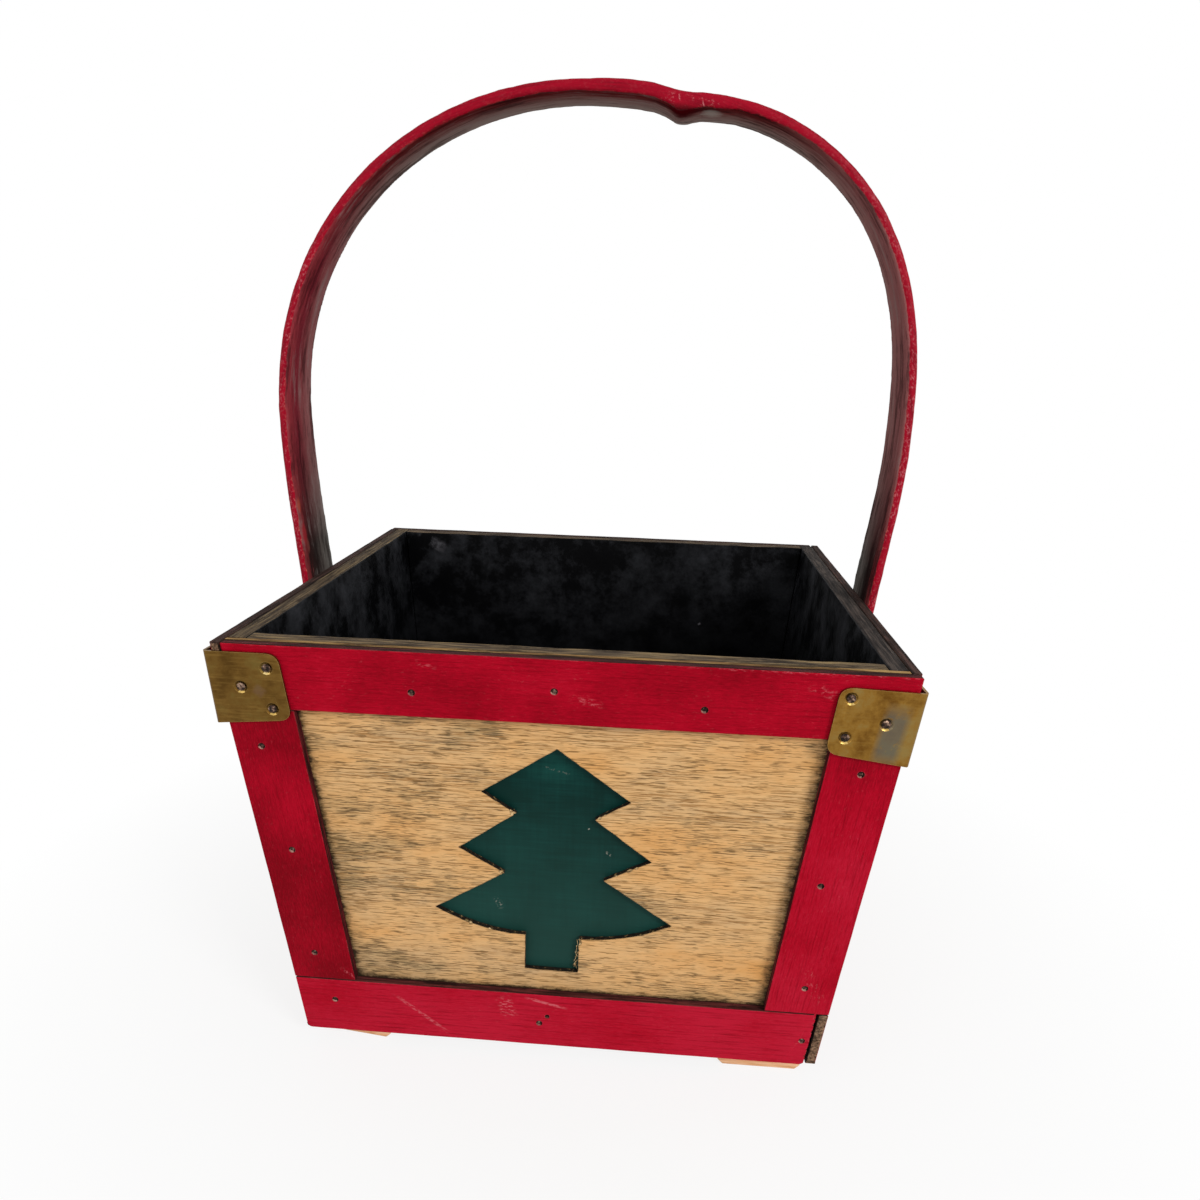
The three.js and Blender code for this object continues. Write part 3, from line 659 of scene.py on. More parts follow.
# Green paint on the board behind the tree: smooth, faintly brushed both ways, a few pale specks
def firGreenPaint():
    look = treeLook
    material, tree, shader = newMaterial("fir_green_paint", Roughness=0.5, Specular_IOR_Level=0.07)
    place = addNode(tree, "ShaderNodeAttribute", attribute_name="grain").outputs["Vector"]
    brushed = addNode(tree, "ShaderNodeTexNoise", {
        "Vector": addNode(tree, "ShaderNodeMapping", {
            "Vector": place, "Scale": [1 / size for size in look["brush"]],
        }),
        "Scale": 1, "Detail": 4, "Roughness": 0.6,
    })
    upright = addNode(tree, "ShaderNodeTexNoise", {
        "Vector": addNode(tree, "ShaderNodeMapping", {
            "Vector": place, "Scale": [1 / size for size in look["crossBrush"]],
        }),
        "Scale": 1, "Detail": 3,
    })
    tone = addNode(tree, "ShaderNodeTexNoise", {"Vector": place, "Scale": 1 / look["cloud"], "Detail": 4})
    tone = addNode(tree, "ShaderNodeMath", {0: tone, 1: 0.55}, operation="MULTIPLY")
    for strokes, share in ((upright, 0.13), (brushed, 0.25)):
        tone = addNode(tree, "ShaderNodeMath", {0: strokes, 1: share, 2: tone}, operation="MULTIPLY_ADD")
    colour = addNode(tree, "ShaderNodeValToRGB", {"Fac": tone}, [
        (0.4, look["deep"]), (0.5, look["body"]), (0.62, look["fresh"]),
    ])
    here = addNode(tree, "ShaderNodeSeparateXYZ", {0: addNode(tree, "ShaderNodeTexCoord").outputs["Object"]})
    # paler towards the bottom: a painted sheen
    dust = addNode(tree, "ShaderNodeMapRange", {
        "Value": here.outputs["Z"], "From Min": heightAtDrop(look["sheenFrom"]) * mm,
        "From Max": heightAtDrop(look["sheenTo"]) * mm, "To Max": 0.75,
    })
    colour = addNode(tree, "ShaderNodeMixRGB", {"Fac": dust, "Color1": colour, "Color2": look["paleSheen"]})
    specks = addNode(tree, "ShaderNodeTexNoise", {
        "Vector": place, "Scale": 1 / look["speckSize"], "Detail": 3,
    })
    marks = addNode(tree, "ShaderNodeMapRange", {
        "Value": specks, "From Min": 0.77, "From Max": 0.8, "To Max": 0.5,
    })
    for mark in treeMarks:
        marks = addScratch(tree, marks, specks, mark)
    colour = addNode(tree, "ShaderNodeMixRGB", {"Fac": marks, "Color1": colour, "Color2": look["speck"]})
    finishShader(tree, shader, colour, brushed, strength=0.25, depth=0.12)
    return material


blackLook = {"body": "#020203", "dust": "#38393d", "smear": "#6a686d", "cloud": 20, "dustyDrop": 62}
backSmears = [  # across and up the back wall
    {"from": (-93, 159), "to": (-78, 151), "width": 3.2, "breaks": 0.4, "strength": 0.55},
    {"from": (50.2, 118.6), "to": (51.6, 119.6), "width": 0.6, "breaks": 0.2, "strength": 0.9},
]


# Black paint inside the box: deep, slightly glossy, clouded by dust in patches
def blackPaint(name, smears=()):
    look = blackLook
    material, tree, shader = newMaterial(name, Specular_IOR_Level=0.07)
    here = addNode(tree, "ShaderNodeTexCoord").outputs["Object"]
    clouds = addNode(tree, "ShaderNodeTexNoise", {
        "Vector": here, "Scale": 1 / (look["cloud"] * mm), "Detail": 8, "Roughness": 0.76,
    })
    nearRim = addNode(tree, "ShaderNodeMapRange", {
        "Value": addNode(tree, "ShaderNodeSeparateXYZ", {0: here}).outputs["Z"],
        "From Min": (box["rim"] - look["dustyDrop"]) * mm, "From Max": box["rim"] * mm, "To Min": 0.06,
    })
    dust = addNode(tree, "ShaderNodeMapRange", {"Value": clouds, "From Min": 0.44, "From Max": 0.76})
    dust = addNode(tree, "ShaderNodeMath", {0: dust, 1: nearRim}, operation="MULTIPLY")
    colour = addNode(tree, "ShaderNodeMixRGB", {"Fac": dust, "Color1": look["body"], "Color2": look["dust"]})
    mask = addNode(tree, "ShaderNodeMapRange", {
        "Value": clouds, "From Min": 0.8, "From Max": 0.9, "To Max": 0.3,
    })
    for smear in smears:
        mask = addScratch(tree, mask, clouds, smear)
    colour = addNode(tree, "ShaderNodeMixRGB", {"Fac": mask, "Color1": colour, "Color2": look["smear"]})
    gloss = addNode(tree, "ShaderNodeMapRange", {
        "Value": clouds, "From Min": 0.3, "From Max": 0.7, "To Min": 0.35, "To Max": 0.6,
    })
    finishShader(tree, shader, colour, clouds, strength=0.2, depth=0.3, roughness=gloss)
    return material


tarnishLook = {
    "rubbed": "#96763c", "edge": "#c2a468", "edgeReach": 0.35, "cloud": 9, "patchEdge": 3,
    "rolled": (7, 7, 0.7),  # rolling lines run level and are drawn coarser than real, to show
}


# Stamped sheet brass gone dull: olive and brown tarnish, a rubbed patch, a thin bright line on its edges
# that is partly worn metal and partly a painted highlight
def agedBrass(name, brown, body, olive, patch):
    look = tarnishLook
    material, tree, shader = newMaterial(name, Metallic=1)
    here = addNode(tree, "ShaderNodeTexCoord").outputs["Object"]
    tarnish = addNode(tree, "ShaderNodeTexNoise", {
        "Vector": here, "Scale": 1 / (look["cloud"] * mm), "Detail": 8, "Roughness": 0.66,
    })
    colour = addNode(tree, "ShaderNodeValToRGB", {"Fac": tarnish}, [
        (0.36, brown), (0.5, body), (0.64, olive),
    ])
    rolled = addNode(tree, "ShaderNodeTexNoise", {
        "Vector": addNode(tree, "ShaderNodeMapping", {
            "Vector": here, "Scale": [1 / (size * mm) for size in look["rolled"]],
        }),
        "Scale": 1, "Detail": 4,
    })
    rubMask = addNode(tree, "ShaderNodeMapRange", {
        "Value": rolled, "From Min": 0.5, "From Max": 0.72, "To Max": 0.3,
    })
    colour = addNode(tree, "ShaderNodeMixRGB", {"Fac": rubMask, "Color1": colour, "Color2": look["rubbed"]})
    if patch:
        ragged = addNode(tree, "ShaderNodeTexNoise", {
            "Vector": here, "Scale": 1 / (look["patchEdge"] * mm), "Detail": 5, "Roughness": 0.7,
        })
        mask = addScratch(tree, 0, ragged, patch["stroke"])
        colour = addNode(tree, "ShaderNodeMixRGB", {
            "Fac": mask, "Color1": colour, "Color2": patch["colour"],
        })
    # the bright line on the edges: worn metal and a painted highlight
    edge = addNode(tree, "ShaderNodeMath", {
        0: addEdgeMask(tree, look["edgeReach"]), 1: 0.55,
    }, operation="MULTIPLY")
    colour = addNode(tree, "ShaderNodeMixRGB", {"Fac": edge, "Color1": colour, "Color2": look["edge"]})
    gloss = addNode(tree, "ShaderNodeMapRange", {
        "Value": tarnish, "From Min": 0.3, "From Max": 0.7, "To Min": 0.36, "To Max": 0.5,
    })
    finishShader(tree, shader, colour, rolled, strength=0.12, depth=0.2, roughness=gloss)
    return material


# Pins, nails and brads: small heads, browned or rusted in three tones, with hammered facets
def brownedSteel(name, dark, body, pale, roughness):
    material, tree, shader = newMaterial(name, Metallic=0.8, Roughness=roughness)
    here = addNode(tree, "ShaderNodeTexCoord").outputs["Object"]
    facetSize = 1.1
    facets = addNode(tree, "ShaderNodeTexNoise", {
        "Vector": here, "Scale": 1 / (facetSize * mm), "Detail": 3,
    })
    colour = addNode(tree, "ShaderNodeValToRGB", {"Fac": facets}, [
        (0.4, dark), (0.54, body), (0.68, pale),
    ])
    finishShader(tree, shader, colour, facets, strength=0.9, depth=0.6)
    return material


# Raw sawn wood of the feet: pale orange, with saw lines
def rawPine():
    material, tree, shader = newMaterial("raw_pine", Roughness=0.75, Specular_IOR_Level=0.2)
    place = addNode(tree, "ShaderNodeAttribute", attribute_name="grain").outputs["Vector"]
    sawLine = (14, 1.1, 1.1)  # along, across and through the grain
    grain = addNode(tree, "ShaderNodeTexNoise", {
        "Vector": addNode(tree, "ShaderNodeMapping", {
            "Vector": place, "Scale": [1 / size for size in sawLine],
        }),
        "Scale": 1, "Detail": 4, "Roughness": 0.6,
    })
    colour = addNode(tree, "ShaderNodeValToRGB", {"Fac": grain}, [
        (0.32, "#c08a5a"), (0.5, "#e2ae80"), (0.7, "#f0c8a2"),
    ])
    finishShader(tree, shader, colour, grain, strength=0.5, depth=0.25)
    return material


stripPaint = crimsonPaint("crimson_milk_paint")
scratchedPaint = crimsonPaint("crimson_milk_paint_scratched", frontScratches)
bentPaints = [  # the worn inner face has no sheen; the reflection it would show is painted into its grey instead
    handlePaint("crimson_paint_on_bentwood", sheen=0.08),
    handlePaint("bentwood_inside_worn_with_painted_reflection", sheen=0),
]
# the strips' upward faces: weathered wood, its tones darkened as painted shade
stripTops = {
    "front": weatheredEdge("front_strip_top_worn_and_shaded", "#1c0f0f", "#43201f", "#6b3433"),
    "other": weatheredEdge("strip_top_worn_and_shaded", "#17110e", "#33231e", "#56403a"),
}
# the sides of the stiles: dirt, and painted shade on the side turned from the light
stripSide = weatheredEdge("dirty_and_shaded_stile_side", "#180a09", "#3c1013", "#6a2426")
stripEnd = weatheredEdge("bare_strip_end", "#3a2b20", "#745a47", "#99795f")
# the backs of the strips: bare wood painted near black, so that the gaps between strips show painted shade
stripBack = weatheredEdge("shaded_bare_strip_back", "#0f0a08", "#241812", "#3a2a20")
boardTops = {
    "front": weatheredEdge("weathered_front_rim", "#2b231c", "#5d5042", "#a28a62"),
    "right": weatheredEdge("weathered_right_rim", "#191614", "#393330", "#5c524b"),
    "back": weatheredEdge("weathered_back_rim", "#231c16", "#4f4338", "#84715a"),
    "left": weatheredEdge("weathered_left_rim", "#2b231b", "#584b3c", "#877456"),
}
plyTop = weatheredEdge("bare_ply_edge", "#33261a", "#937147", "#c6a268", lineWidth=1.6)
# the walls and floors of the brad holes: bare wood darkened as painted shade
dimpleWood = weatheredEdge("shaded_bare_brad_hole", "#140c0a", "#2c1814", "#5a3d33")
# the lower lip of each brad hole, turned to the light: a painted highlight
dimpleLip = weatheredEdge("brad_hole_painted_highlight", "#5c3a34", "#946a5f", "#c09588")
facePlyWood = birchPly("birch_face_ply", framed=True)
sidePlyWood = birchPly("birch_side_ply", framed=False)
sawCut = scorchedShadedCut()
chipWood = tornWood()
treeGreen = firGreenPaint()
insideBlack = blackPaint("black_paint")
smearedBlack = blackPaint("black_paint_smeared", backSmears)
brassCoats = {
    "front_left": agedBrass("aged_brass_dark", "#553c18", "#694d22", "#6e592b", {
        "colour": "#6d5348", "stroke": scratchOnFront((-95, 14), (-91.6, 17), 2.2, 0.4, 0.35),
    }),
    "front_right": agedBrass("aged_brass_rubbed", "#6a4719", "#8b662b", "#8d7440", {
        "colour": "#595b55", "stroke": scratchOnFront((101.8, 8), (98.4, 31), 4.6, 0.27, 0.72),
    }),
    "back": agedBrass("aged_brass", "#6e4f1e", "#86672a", "#76622b", patch=None),
}
# the upward flanks of the pin countersinks: a painted highlight in bright brass
brassRimHighlight = agedBrass("brass_rim_painted_highlight", "#94763c", "#bfa05c", "#dcc68e", patch=None)
pinMetal = brownedSteel("browned_steel", "#1d130e", "#4f3a30", "#a08470", roughness=0.38)
bradMetal = brownedSteel("rusted_steel", "#1a0f0b", "#4a372d", "#947c6b", roughness=0.45)
footWood = rawPine()


def deselectAll():
    bpy.ops.object.select_all(action="DESELECT")


def makeActive(piece):
    deselectAll()
    piece.select_set(True)
    bpy.context.view_layer.objects.active = piece


def editPiece(piece):
    makeActive(piece)
    bpy.ops.object.mode_set(mode="EDIT")
    bpy.ops.mesh.select_all(action="SELECT")


def leaveEdit():
    bpy.ops.object.mode_set(mode="OBJECT")


weldReach = 0.005  # corners of a CAD mesh that lie closer are one corner
flatAngle = math.radians(1)  # faces that turn less than this lie in one plane


# A copy of a CAD node with its loose triangles merged, left in edit mode with everything selected
def copyNode(nodeName, pieceName):
    makeActive(nodes[nodeName])
    bpy.ops.object.duplicate()
    piece = bpy.context.object
    bpy.ops.object.parent_clear(type="CLEAR_KEEP_TRANSFORM")
    for key in list(piece.keys()):
        del piece[key]
    piece.name = pieceName
    piece.data.name = pieceName
    piece.data.materials.clear()
    editPiece(piece)
    bpy.ops.mesh.remove_doubles(threshold=weldReach * mm)
    return piece


# The same copy as one clean block: drilled holes closed, flat faces in one
def copyBlock(nodeName, pieceName):
    piece = copyNode(nodeName, pieceName)
    bpy.ops.mesh.convex_hull()
    bpy.ops.mesh.dissolve_limited(angle_limit=flatAngle)
    bpy.ops.mesh.select_all(action="SELECT")
    return piece


def pickEdges(piece, test):  # test on an edge's two ends, in millimetres
    bpy.ops.mesh.select_mode(type="EDGE")
    bpy.ops.mesh.select_all(action="DESELECT")
    shape = bmesh.from_edit_mesh(piece.data)
    for edge in shape.edges:
        edge.select_set(test(edge.verts[0].co / mm, edge.verts[1].co / mm))
    bmesh.update_edit_mesh(piece.data)


def pickVertices(piece, test):  # test on a vertex's place in millimetres and its normal
    bpy.ops.mesh.select_mode(type="VERT")
    bpy.ops.mesh.select_all(action="DESELECT")
    shape = bmesh.from_edit_mesh(piece.data)
    for vertex in shape.verts:
        vertex.select_set(test(vertex.co / mm, vertex.normal))
    bmesh.update_edit_mesh(piece.data)


# Moves the vertices whose place meets a test, in edit mode, and leaves everything selected
def shiftPart(piece, move, test):
    pickVertices(piece, lambda place, normal: test(place))
    bpy.ops.transform.translate(value=move * mm)
    bpy.ops.mesh.select_all(action="SELECT")


# Saws a length off the end that lies furthest in a direction, in edit mode
def trimEnd(piece, way, length):
    reach = max(vertex.co.dot(way) for vertex in bmesh.from_edit_mesh(piece.data).verts)
    bpy.ops.mesh.bisect(
        plane_co=way * (reach - length * mm), plane_no=way, use_fill=True, clear_outer=True,
    )
    bpy.ops.mesh.select_all(action="SELECT")


def applyModifier(piece, kind, **settings):
    makeActive(piece)
    modifier = piece.modifiers.new(kind.lower(), kind)
    for name, value in settings.items():
        setattr(modifier, name, value)
    bpy.ops.object.modifier_apply(modifier=modifier.name)


# Small lasting unevenness, so that no edge of a wooden piece is ruled
def roughen(piece, size, depth, **settings):
    texture = bpy.data.textures.new("unevenness", "CLOUDS")
    texture.noise_scale = size * mm
    texture.noise_depth = 2
    applyModifier(
        piece, "DISPLACE", texture=texture, texture_coords="LOCAL", strength=depth * mm, **settings,
    )


def cutAway(piece, cutter):
    applyModifier(piece, "BOOLEAN", object=cutter, operation="DIFFERENCE", solver="EXACT", use_self=True)
    bpy.data.objects.remove(cutter)


def joinPieces(pieces, name):
    makeActive(pieces[0])
    for other in pieces[1:]:
        other.select_set(True)
    bpy.ops.object.join()
    pieces[0].name = name
    pieces[0].data.name = name
    bpy.ops.object.transform_apply(location=True, rotation=True, scale=True)
    return pieces[0]


def copyTo(master, place, direction):  # a copy with its own mesh, its upright turned to a direction
    makeActive(master)
    bpy.ops.object.duplicate()
    copy = bpy.context.object
    copy.location = place
    copy.rotation_euler = direction.to_track_quat("Z", "Y").to_euler()
    return copy


chipShape = {"stretch": (1.3, 0.8, 0.8), "jagged": 0.22}


# A small jagged lump that cuts a chip out of an edge
def addChip(place, size, seed):
    deselectAll()
    bpy.ops.mesh.primitive_ico_sphere_add(
        subdivisions=2, radius=size * mm, location=place, rotation=(seed, 2 * seed, 3 * seed),
        scale=chipShape["stretch"],
    )
    chip = bpy.context.object
    editPiece(chip)
    bpy.ops.transform.vertex_random(offset=chipShape["jagged"] * size * mm, seed=seed)
    leaveEdit()
    return chip


# Grain coordinates in millimetres: along the grain, across it, and depth from the outer face
def markGrain(piece, along, out, face, shift):
    across = out.cross(along).normalized()
    values = []
    for vertex in piece.data.vertices:
        values.append(vertex.co.dot(along) / mm + shift)
        values.append(vertex.co.dot(across) / mm + shift)
        values.append((face - vertex.co).dot(out) / mm)
    piece.data.attributes.new("grain", "FLOAT_VECTOR", "POINT").data.foreach_set("vector", values)


# Gives each face the first finish whose test it meets; the test takes the face's normal, whose share along
# a direction is 1 where it faces that way, and its centre in millimetres
def finishFaces(piece, finishes):
    for material, test in finishes:
        piece.data.materials.append(material)
    for face in piece.data.polygons:
        for place, (material, test) in enumerate(finishes):
            if test(face.normal, face.center / mm):
                face.material_index = place
                break


# Smooth shading up to an angle in degrees, then the piece's body and the nodes it replaces; the slot is not
# used
def finishPiece(piece, slot, *replaced, smooth=34):
    makeActive(piece)
    bpy.ops.object.shade_smooth_by_angle(angle=math.radians(smooth))
    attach(piece, "root")
    if replaced:
        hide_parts(*replaced)


print("brads")
bradLook = {
    "radius": 0.76, "height": 0.9, "sides": 14, "round": 0.2, "rim": 0.2, "dish": 0.15, "sink": 0.25,
    "holeRadius": 1.65, "holeFoot": 0.9, "holeDepth": 1.3, "oldHole": 0.75,  # foot and old hole are shares
    "wander": 1.5, "legCover": 17,  # off the front's pattern, and clear of the handle's legs
}
frontBrads = {  # across and down the front face
    "top_rail": [(-45.5, 13.7), (-1.3, 10.8), (44.4, 14.3)],
    "left_stile": [(-95.5, 35.8), (-89.8, 75.4), (-86.4, 119.1)],
    "right_stile": [(93.3, 33.7), (85.9, 76.3), (85.3, 119.4)],
    "bottom_rail": [(-80.8, 140.2), (-6.4, 144.2), (86.7, 143.2)],
}
deselectAll()
bpy.ops.mesh.primitive_cylinder_add(
    vertices=bradLook["sides"], radius=bradLook["radius"] * mm, depth=bradLook["height"] * mm,
)
bradMaster = bpy.context.object
editPiece(bradMaster)
bpy.ops.mesh.bevel(offset=bradLook["round"] * mm, segments=2, affect="EDGES")
pickVertices(bradMaster, lambda place, normal: place.z > bradLook["height"] * 0.49)  # its flat top
bpy.ops.mesh.select_mode(type="FACE")
bpy.ops.mesh.inset(thickness=bradLook["rim"] * mm)
bpy.ops.transform.translate(value=(0, 0, -bradLook["dish"] * mm))
leaveEdit()
deselectAll()
bpy.ops.mesh.primitive_cone_add(
    vertices=bradLook["sides"], radius1=bradLook["radius"] * bradLook["holeFoot"] * mm,
    radius2=bradLook["holeRadius"] * mm, depth=bradLook["holeDepth"] * mm,
)
holeMaster = bpy.context.object
jitter = random.Random(7)


# Places of a strip's brads on its outer face
def bradPlaces(wall, kind):
    spread = walls[wall]["along"] / walls["front"]["along"]
    wander = 0 if wall == "front" else bradLook["wander"]
    places = []
    for across, drop in frontBrads[kind]:
        across = across * spread + jitter.uniform(-wander, wander)
        drop = drop + jitter.uniform(-wander, wander)
        underLeg = wall in ("left", "right") and "rail" in kind and abs(across) < bradLook["legCover"]
        if not underLeg:
            places.append(wallPoint(wall, across, drop))
    return places


print("frame strips")
stripLook = {
    "endEase": 0.8, "ease": 0.4, "ringGap": 6, "unevenSize": 14, "unevenDepth": 0.26, "shift": 137,
    "endEdge": (2.5, 30), "longEdge": 40,  # lengths of the edges at an end and of those along the strip
    "trim": {"front_top_rail": 0.4, "front_bottom_rail": 0.6},  # right ends sawn short leave a dark gap
    "hang": 1.1, "hangReach": 6,  # bottom rails hang a little below the boards
    "cornerRound": 1.8, "cornerEdge": 5, "cornerReach": 4,  # their lower corners are rounded
    "drawUp": 0.25,  # ends of the stiles meet the rails
    "knocked": {  # the upper right corner
        "front_bottom_rail": {
            "at": (91.2, 131.4), "depth": 0.6, "inward": (1, 0, 0.7), "faces": (0.7, -0.25, 0.65),
        },
    },
    "oldHoles": {"front_bottom_rail": [(-3.5, 140.8)]},  # left by a brad that was pulled out
    "dimpleReach": 1.5, "dimpleFlank": 0.93, "dimpleDepth": 0.3,
    "chips": {"front_bottom_rail": [
        (90.7, 131.6, 1.4), (90.5, 135.0, 1.0), (90.1, 138.6, 0.8), (89.8, 142.4, 1.0), (89.3, 146.8, 0.8),
        (88.9, 150.2, 1.1), (88.6, 153.0, 0.9),
    ]},
    "tone": {  # brightness at the left or lower end and at the other one; on the front this is painted light and shade: the left stile darker, the bottom rail and the foot of the right stile paler
        "front_left_stile": (-0.27, -0.26), "front_top_rail": (-0.02, -0.13),
        "front_bottom_rail": (0.12, 0.26), "front_right_stile": (0.16, -0.07),
    },
    "otherTone": (-0.1, 0.06),
}


# One strip with its faults of length and corner, its edges eased and uneven, before its holes are cut
def shapeStrip(wall, kind):
    look = stripLook
    name = f"{wall}_{kind}"
    ways = wallDirections(wall)
    along = ways.get(kind, ways["rail"])
    piece = copyBlock(name, f"painted_{name}")
    if kind == "bottom_rail":
        upward = (ways["left_stile"] + ways["right_stile"]).normalized()
        shiftPart(piece, upward * -look["hang"], lambda place: place.z < box["low"] + look["hangReach"])
    if name == "front_top_rail":
        shiftPart(piece, -along * look["drawUp"], lambda place: place.x < 0)
    if "stile" in kind:
        middle = (box["low"] + box["rim"]) / 2
        for end in (1, -1):
            shiftPart(piece, along * end * look["drawUp"], lambda place: end * (place.z - middle) > 0)
    if name in look["trim"]:
        trimEnd(piece, wallDirections("right")["out"], look["trim"][name])
    if name in look["knocked"]:
        knock = look["knocked"][name]
        bpy.ops.mesh.bisect(
            plane_co=wallPoint(wall, *knock["at"]) - Vector(knock["inward"]) * knock["depth"] * mm,
            plane_no=knock["faces"], use_fill=True, clear_outer=True,
        )
    if kind == "bottom_rail":
        cornerTop = box["low"] + look["cornerReach"]
        pickEdges(piece, lambda a, b: (b - a).length < look["cornerEdge"] and max(a.z, b.z) < cornerTop)
        bpy.ops.mesh.bevel(offset=look["cornerRound"] * mm, segments=4, affect="EDGES")
    pickEdges(piece, lambda a, b: look["endEdge"][0] < (b - a).length < look["endEdge"][1])
    bpy.ops.mesh.bevel(offset=look["endEase"] * mm, segments=3, affect="EDGES")
    pickEdges(piece, lambda a, b: (b - a).length > look["longEdge"])
    bpy.ops.mesh.bevel(offset=look["ease"] * mm, segments=2, affect="EDGES")
    pickEdges(piece, lambda a, b: (b - a).length > look["longEdge"])
    bpy.ops.mesh.subdivide(number_cuts=round(max(piece.dimensions) / mm / look["ringGap"]))
    leaveEdit()
    level, square = ("Y", "X") if wall in ("left", "right") else ("X", "Y")
    if "rail" in kind:  # up and outward together, so that the leaning face stays flat
        outward = box["slope"] if wall in ("right", "back") else -box["slope"]
        roughen(piece, look["unevenSize"], look["unevenDepth"], direction="Z")
        roughen(piece, look["unevenSize"], look["unevenDepth"] * outward, direction=square)
    else:
        roughen(piece, look["unevenSize"], look["unevenDepth"], direction=level)
    return piece


# Whether a face near one of the holes lies on its flank or below the strip's outer face
def inDimple(normal, centre, out, places):
    look = stripLook
    for hole in places:
        offset = centre * mm - hole
        if offset.length < look["dimpleReach"] * mm:
            return normal.dot(out) < look["dimpleFlank"] or offset.dot(out) < -look["dimpleDepth"] * mm
    return False


strips = {}
for wall in walls:
    ways = wallDirections(wall)
    out = ways["out"]
    lowerLip = (Vector((0, 0, 0.9)) + ways["rail"] * 0.45).normalized()  # the side that catches the light
    bradHeads = []
    for kind in ("top_rail", "bottom_rail", "left_stile", "right_stile"):
        name = f"{wall}_{kind}"
        along = ways.get(kind, ways["rail"])
        piece = shapeStrip(wall, kind)
        places = bradPlaces(wall, kind)
        oldPlaces = [wallPoint(wall, *spot) for spot in stripLook["oldHoles"].get(name, [])]
        cutters = []
        for place in places:
            cutters.append(copyTo(holeMaster, place, out))
            seat = place - out * (bradLook["height"] / 2 + bradLook["sink"]) * mm
            bradHeads.append(copyTo(bradMaster, seat, out))
        for place in oldPlaces:
            cutters.append(copyTo(holeMaster, place, out))
            cutters[-1].scale = (bradLook["oldHole"], bradLook["oldHole"], 1)
        for across, drop, size in stripLook["chips"].get(name, []):
            cutters.append(addChip(wallPoint(wall, across, drop), size, len(cutters)))
        cutAway(piece, joinPieces(cutters, "strip_cutter"))
        markGrain(piece, along, out, wallPoint(wall, 0, 0), stripLook["shift"] * len(strips))
        tones = stripLook["tone"].get(name, [jitter.uniform(*stripLook["otherTone"])] * 2)
        runs = [vertex.co.dot(along) for vertex in piece.data.vertices]
        start = min(runs)
        toneRise = (tones[1] - tones[0]) / (max(runs) - start)
        values = [tones[0] + toneRise * (run - start) for run in runs]
        piece.data.attributes.new("tone", "FLOAT", "POINT").data.foreach_set("value", values)
        holed = places + oldPlaces
        finishFaces(piece, [
            (dimpleLip, lambda normal, centre: normal.dot(lowerLip) > 0.45
             and inDimple(normal, centre, out, places)),
            (dimpleWood, lambda normal, centre: inDimple(normal, centre, out, holed)),
            (stripBack, lambda normal, centre: normal.dot(out) < -0.5),
            (stripEnd, lambda normal, centre: "rail" in kind and abs(normal.dot(along)) > 0.85),
            (stripSide, lambda normal, centre: "stile" in kind and abs(normal.dot(ways["rail"])) > 0.7),
            (stripTops.get(wall, stripTops["other"]), lambda normal, centre: normal.z > 0.6),
            (scratchedPaint if wall == "front" else stripPaint, lambda normal, centre: True),
        ])
        strips[name] = piece
    heads = joinPieces(bradHeads, f"brads_{wall}")
    heads.data.materials.append(bradMetal)
    finishPiece(heads, "dull_steel")
for name, piece in strips.items():
    finishPiece(piece, "red_painted_strip", name, smooth=12)
bpy.data.objects.remove(bradMaster)
bpy.data.objects.remove(holeMaster)

print("boards")
boardLook = {"ease": 0.35, "ringGap": 5, "unevenSize": 7, "unevenDepth": 0.45, "shift": 211}
for place, wall in enumerate(walls):
    ways = wallDirections(wall)
    piece = copyBlock(f"{wall}_board", f"wall_board_{wall}")
    bpy.ops.mesh.bevel(offset=boardLook["ease"] * mm, segments=2, affect="EDGES")
    pickEdges(piece, lambda a, b: abs((b - a).normalized().dot(ways["rail"])) > 0.98)
    bpy.ops.mesh.subdivide(number_cuts=round(2 * walls[wall]["along"] / boardLook["ringGap"]))
    leaveEdit()
    roughen(piece, boardLook["unevenSize"], boardLook["unevenDepth"], direction="Z")
    markGrain(piece, ways["rail"], ways["out"], wallPoint(wall, 0, 0), boardLook["shift"] * place)
    outside = treeGreen if wall == "front" else sidePlyWood
    inside = smearedBlack if wall == "back" else insideBlack
    finishFaces(piece, [
        (outside, lambda normal, centre: normal.dot(ways["out"]) > 0.8),
        (boardTops[wall], lambda normal, centre: normal.z > 0.55),
        (inside, lambda normal, centre: True),
    ])
    slot = "green_painted_board" if wall == "front" else "stained_board"
    finishPiece(piece, slot, f"{wall}_board", smooth=12)

piece = copyBlock("base_board", "floor_board")
bpy.ops.mesh.bevel(offset=boardLook["ease"] * mm, segments=2, affect="EDGES")
leaveEdit()
markGrain(piece, Vector((1, 0, 0)), Vector((0, 0, -1)), Vector(), 0)
finishFaces(piece, [
    (sidePlyWood, lambda normal, centre: normal.z < -0.8),
    (insideBlack, lambda normal, centre: True),
])
finishPiece(piece, "black_painted_board", "base_board")

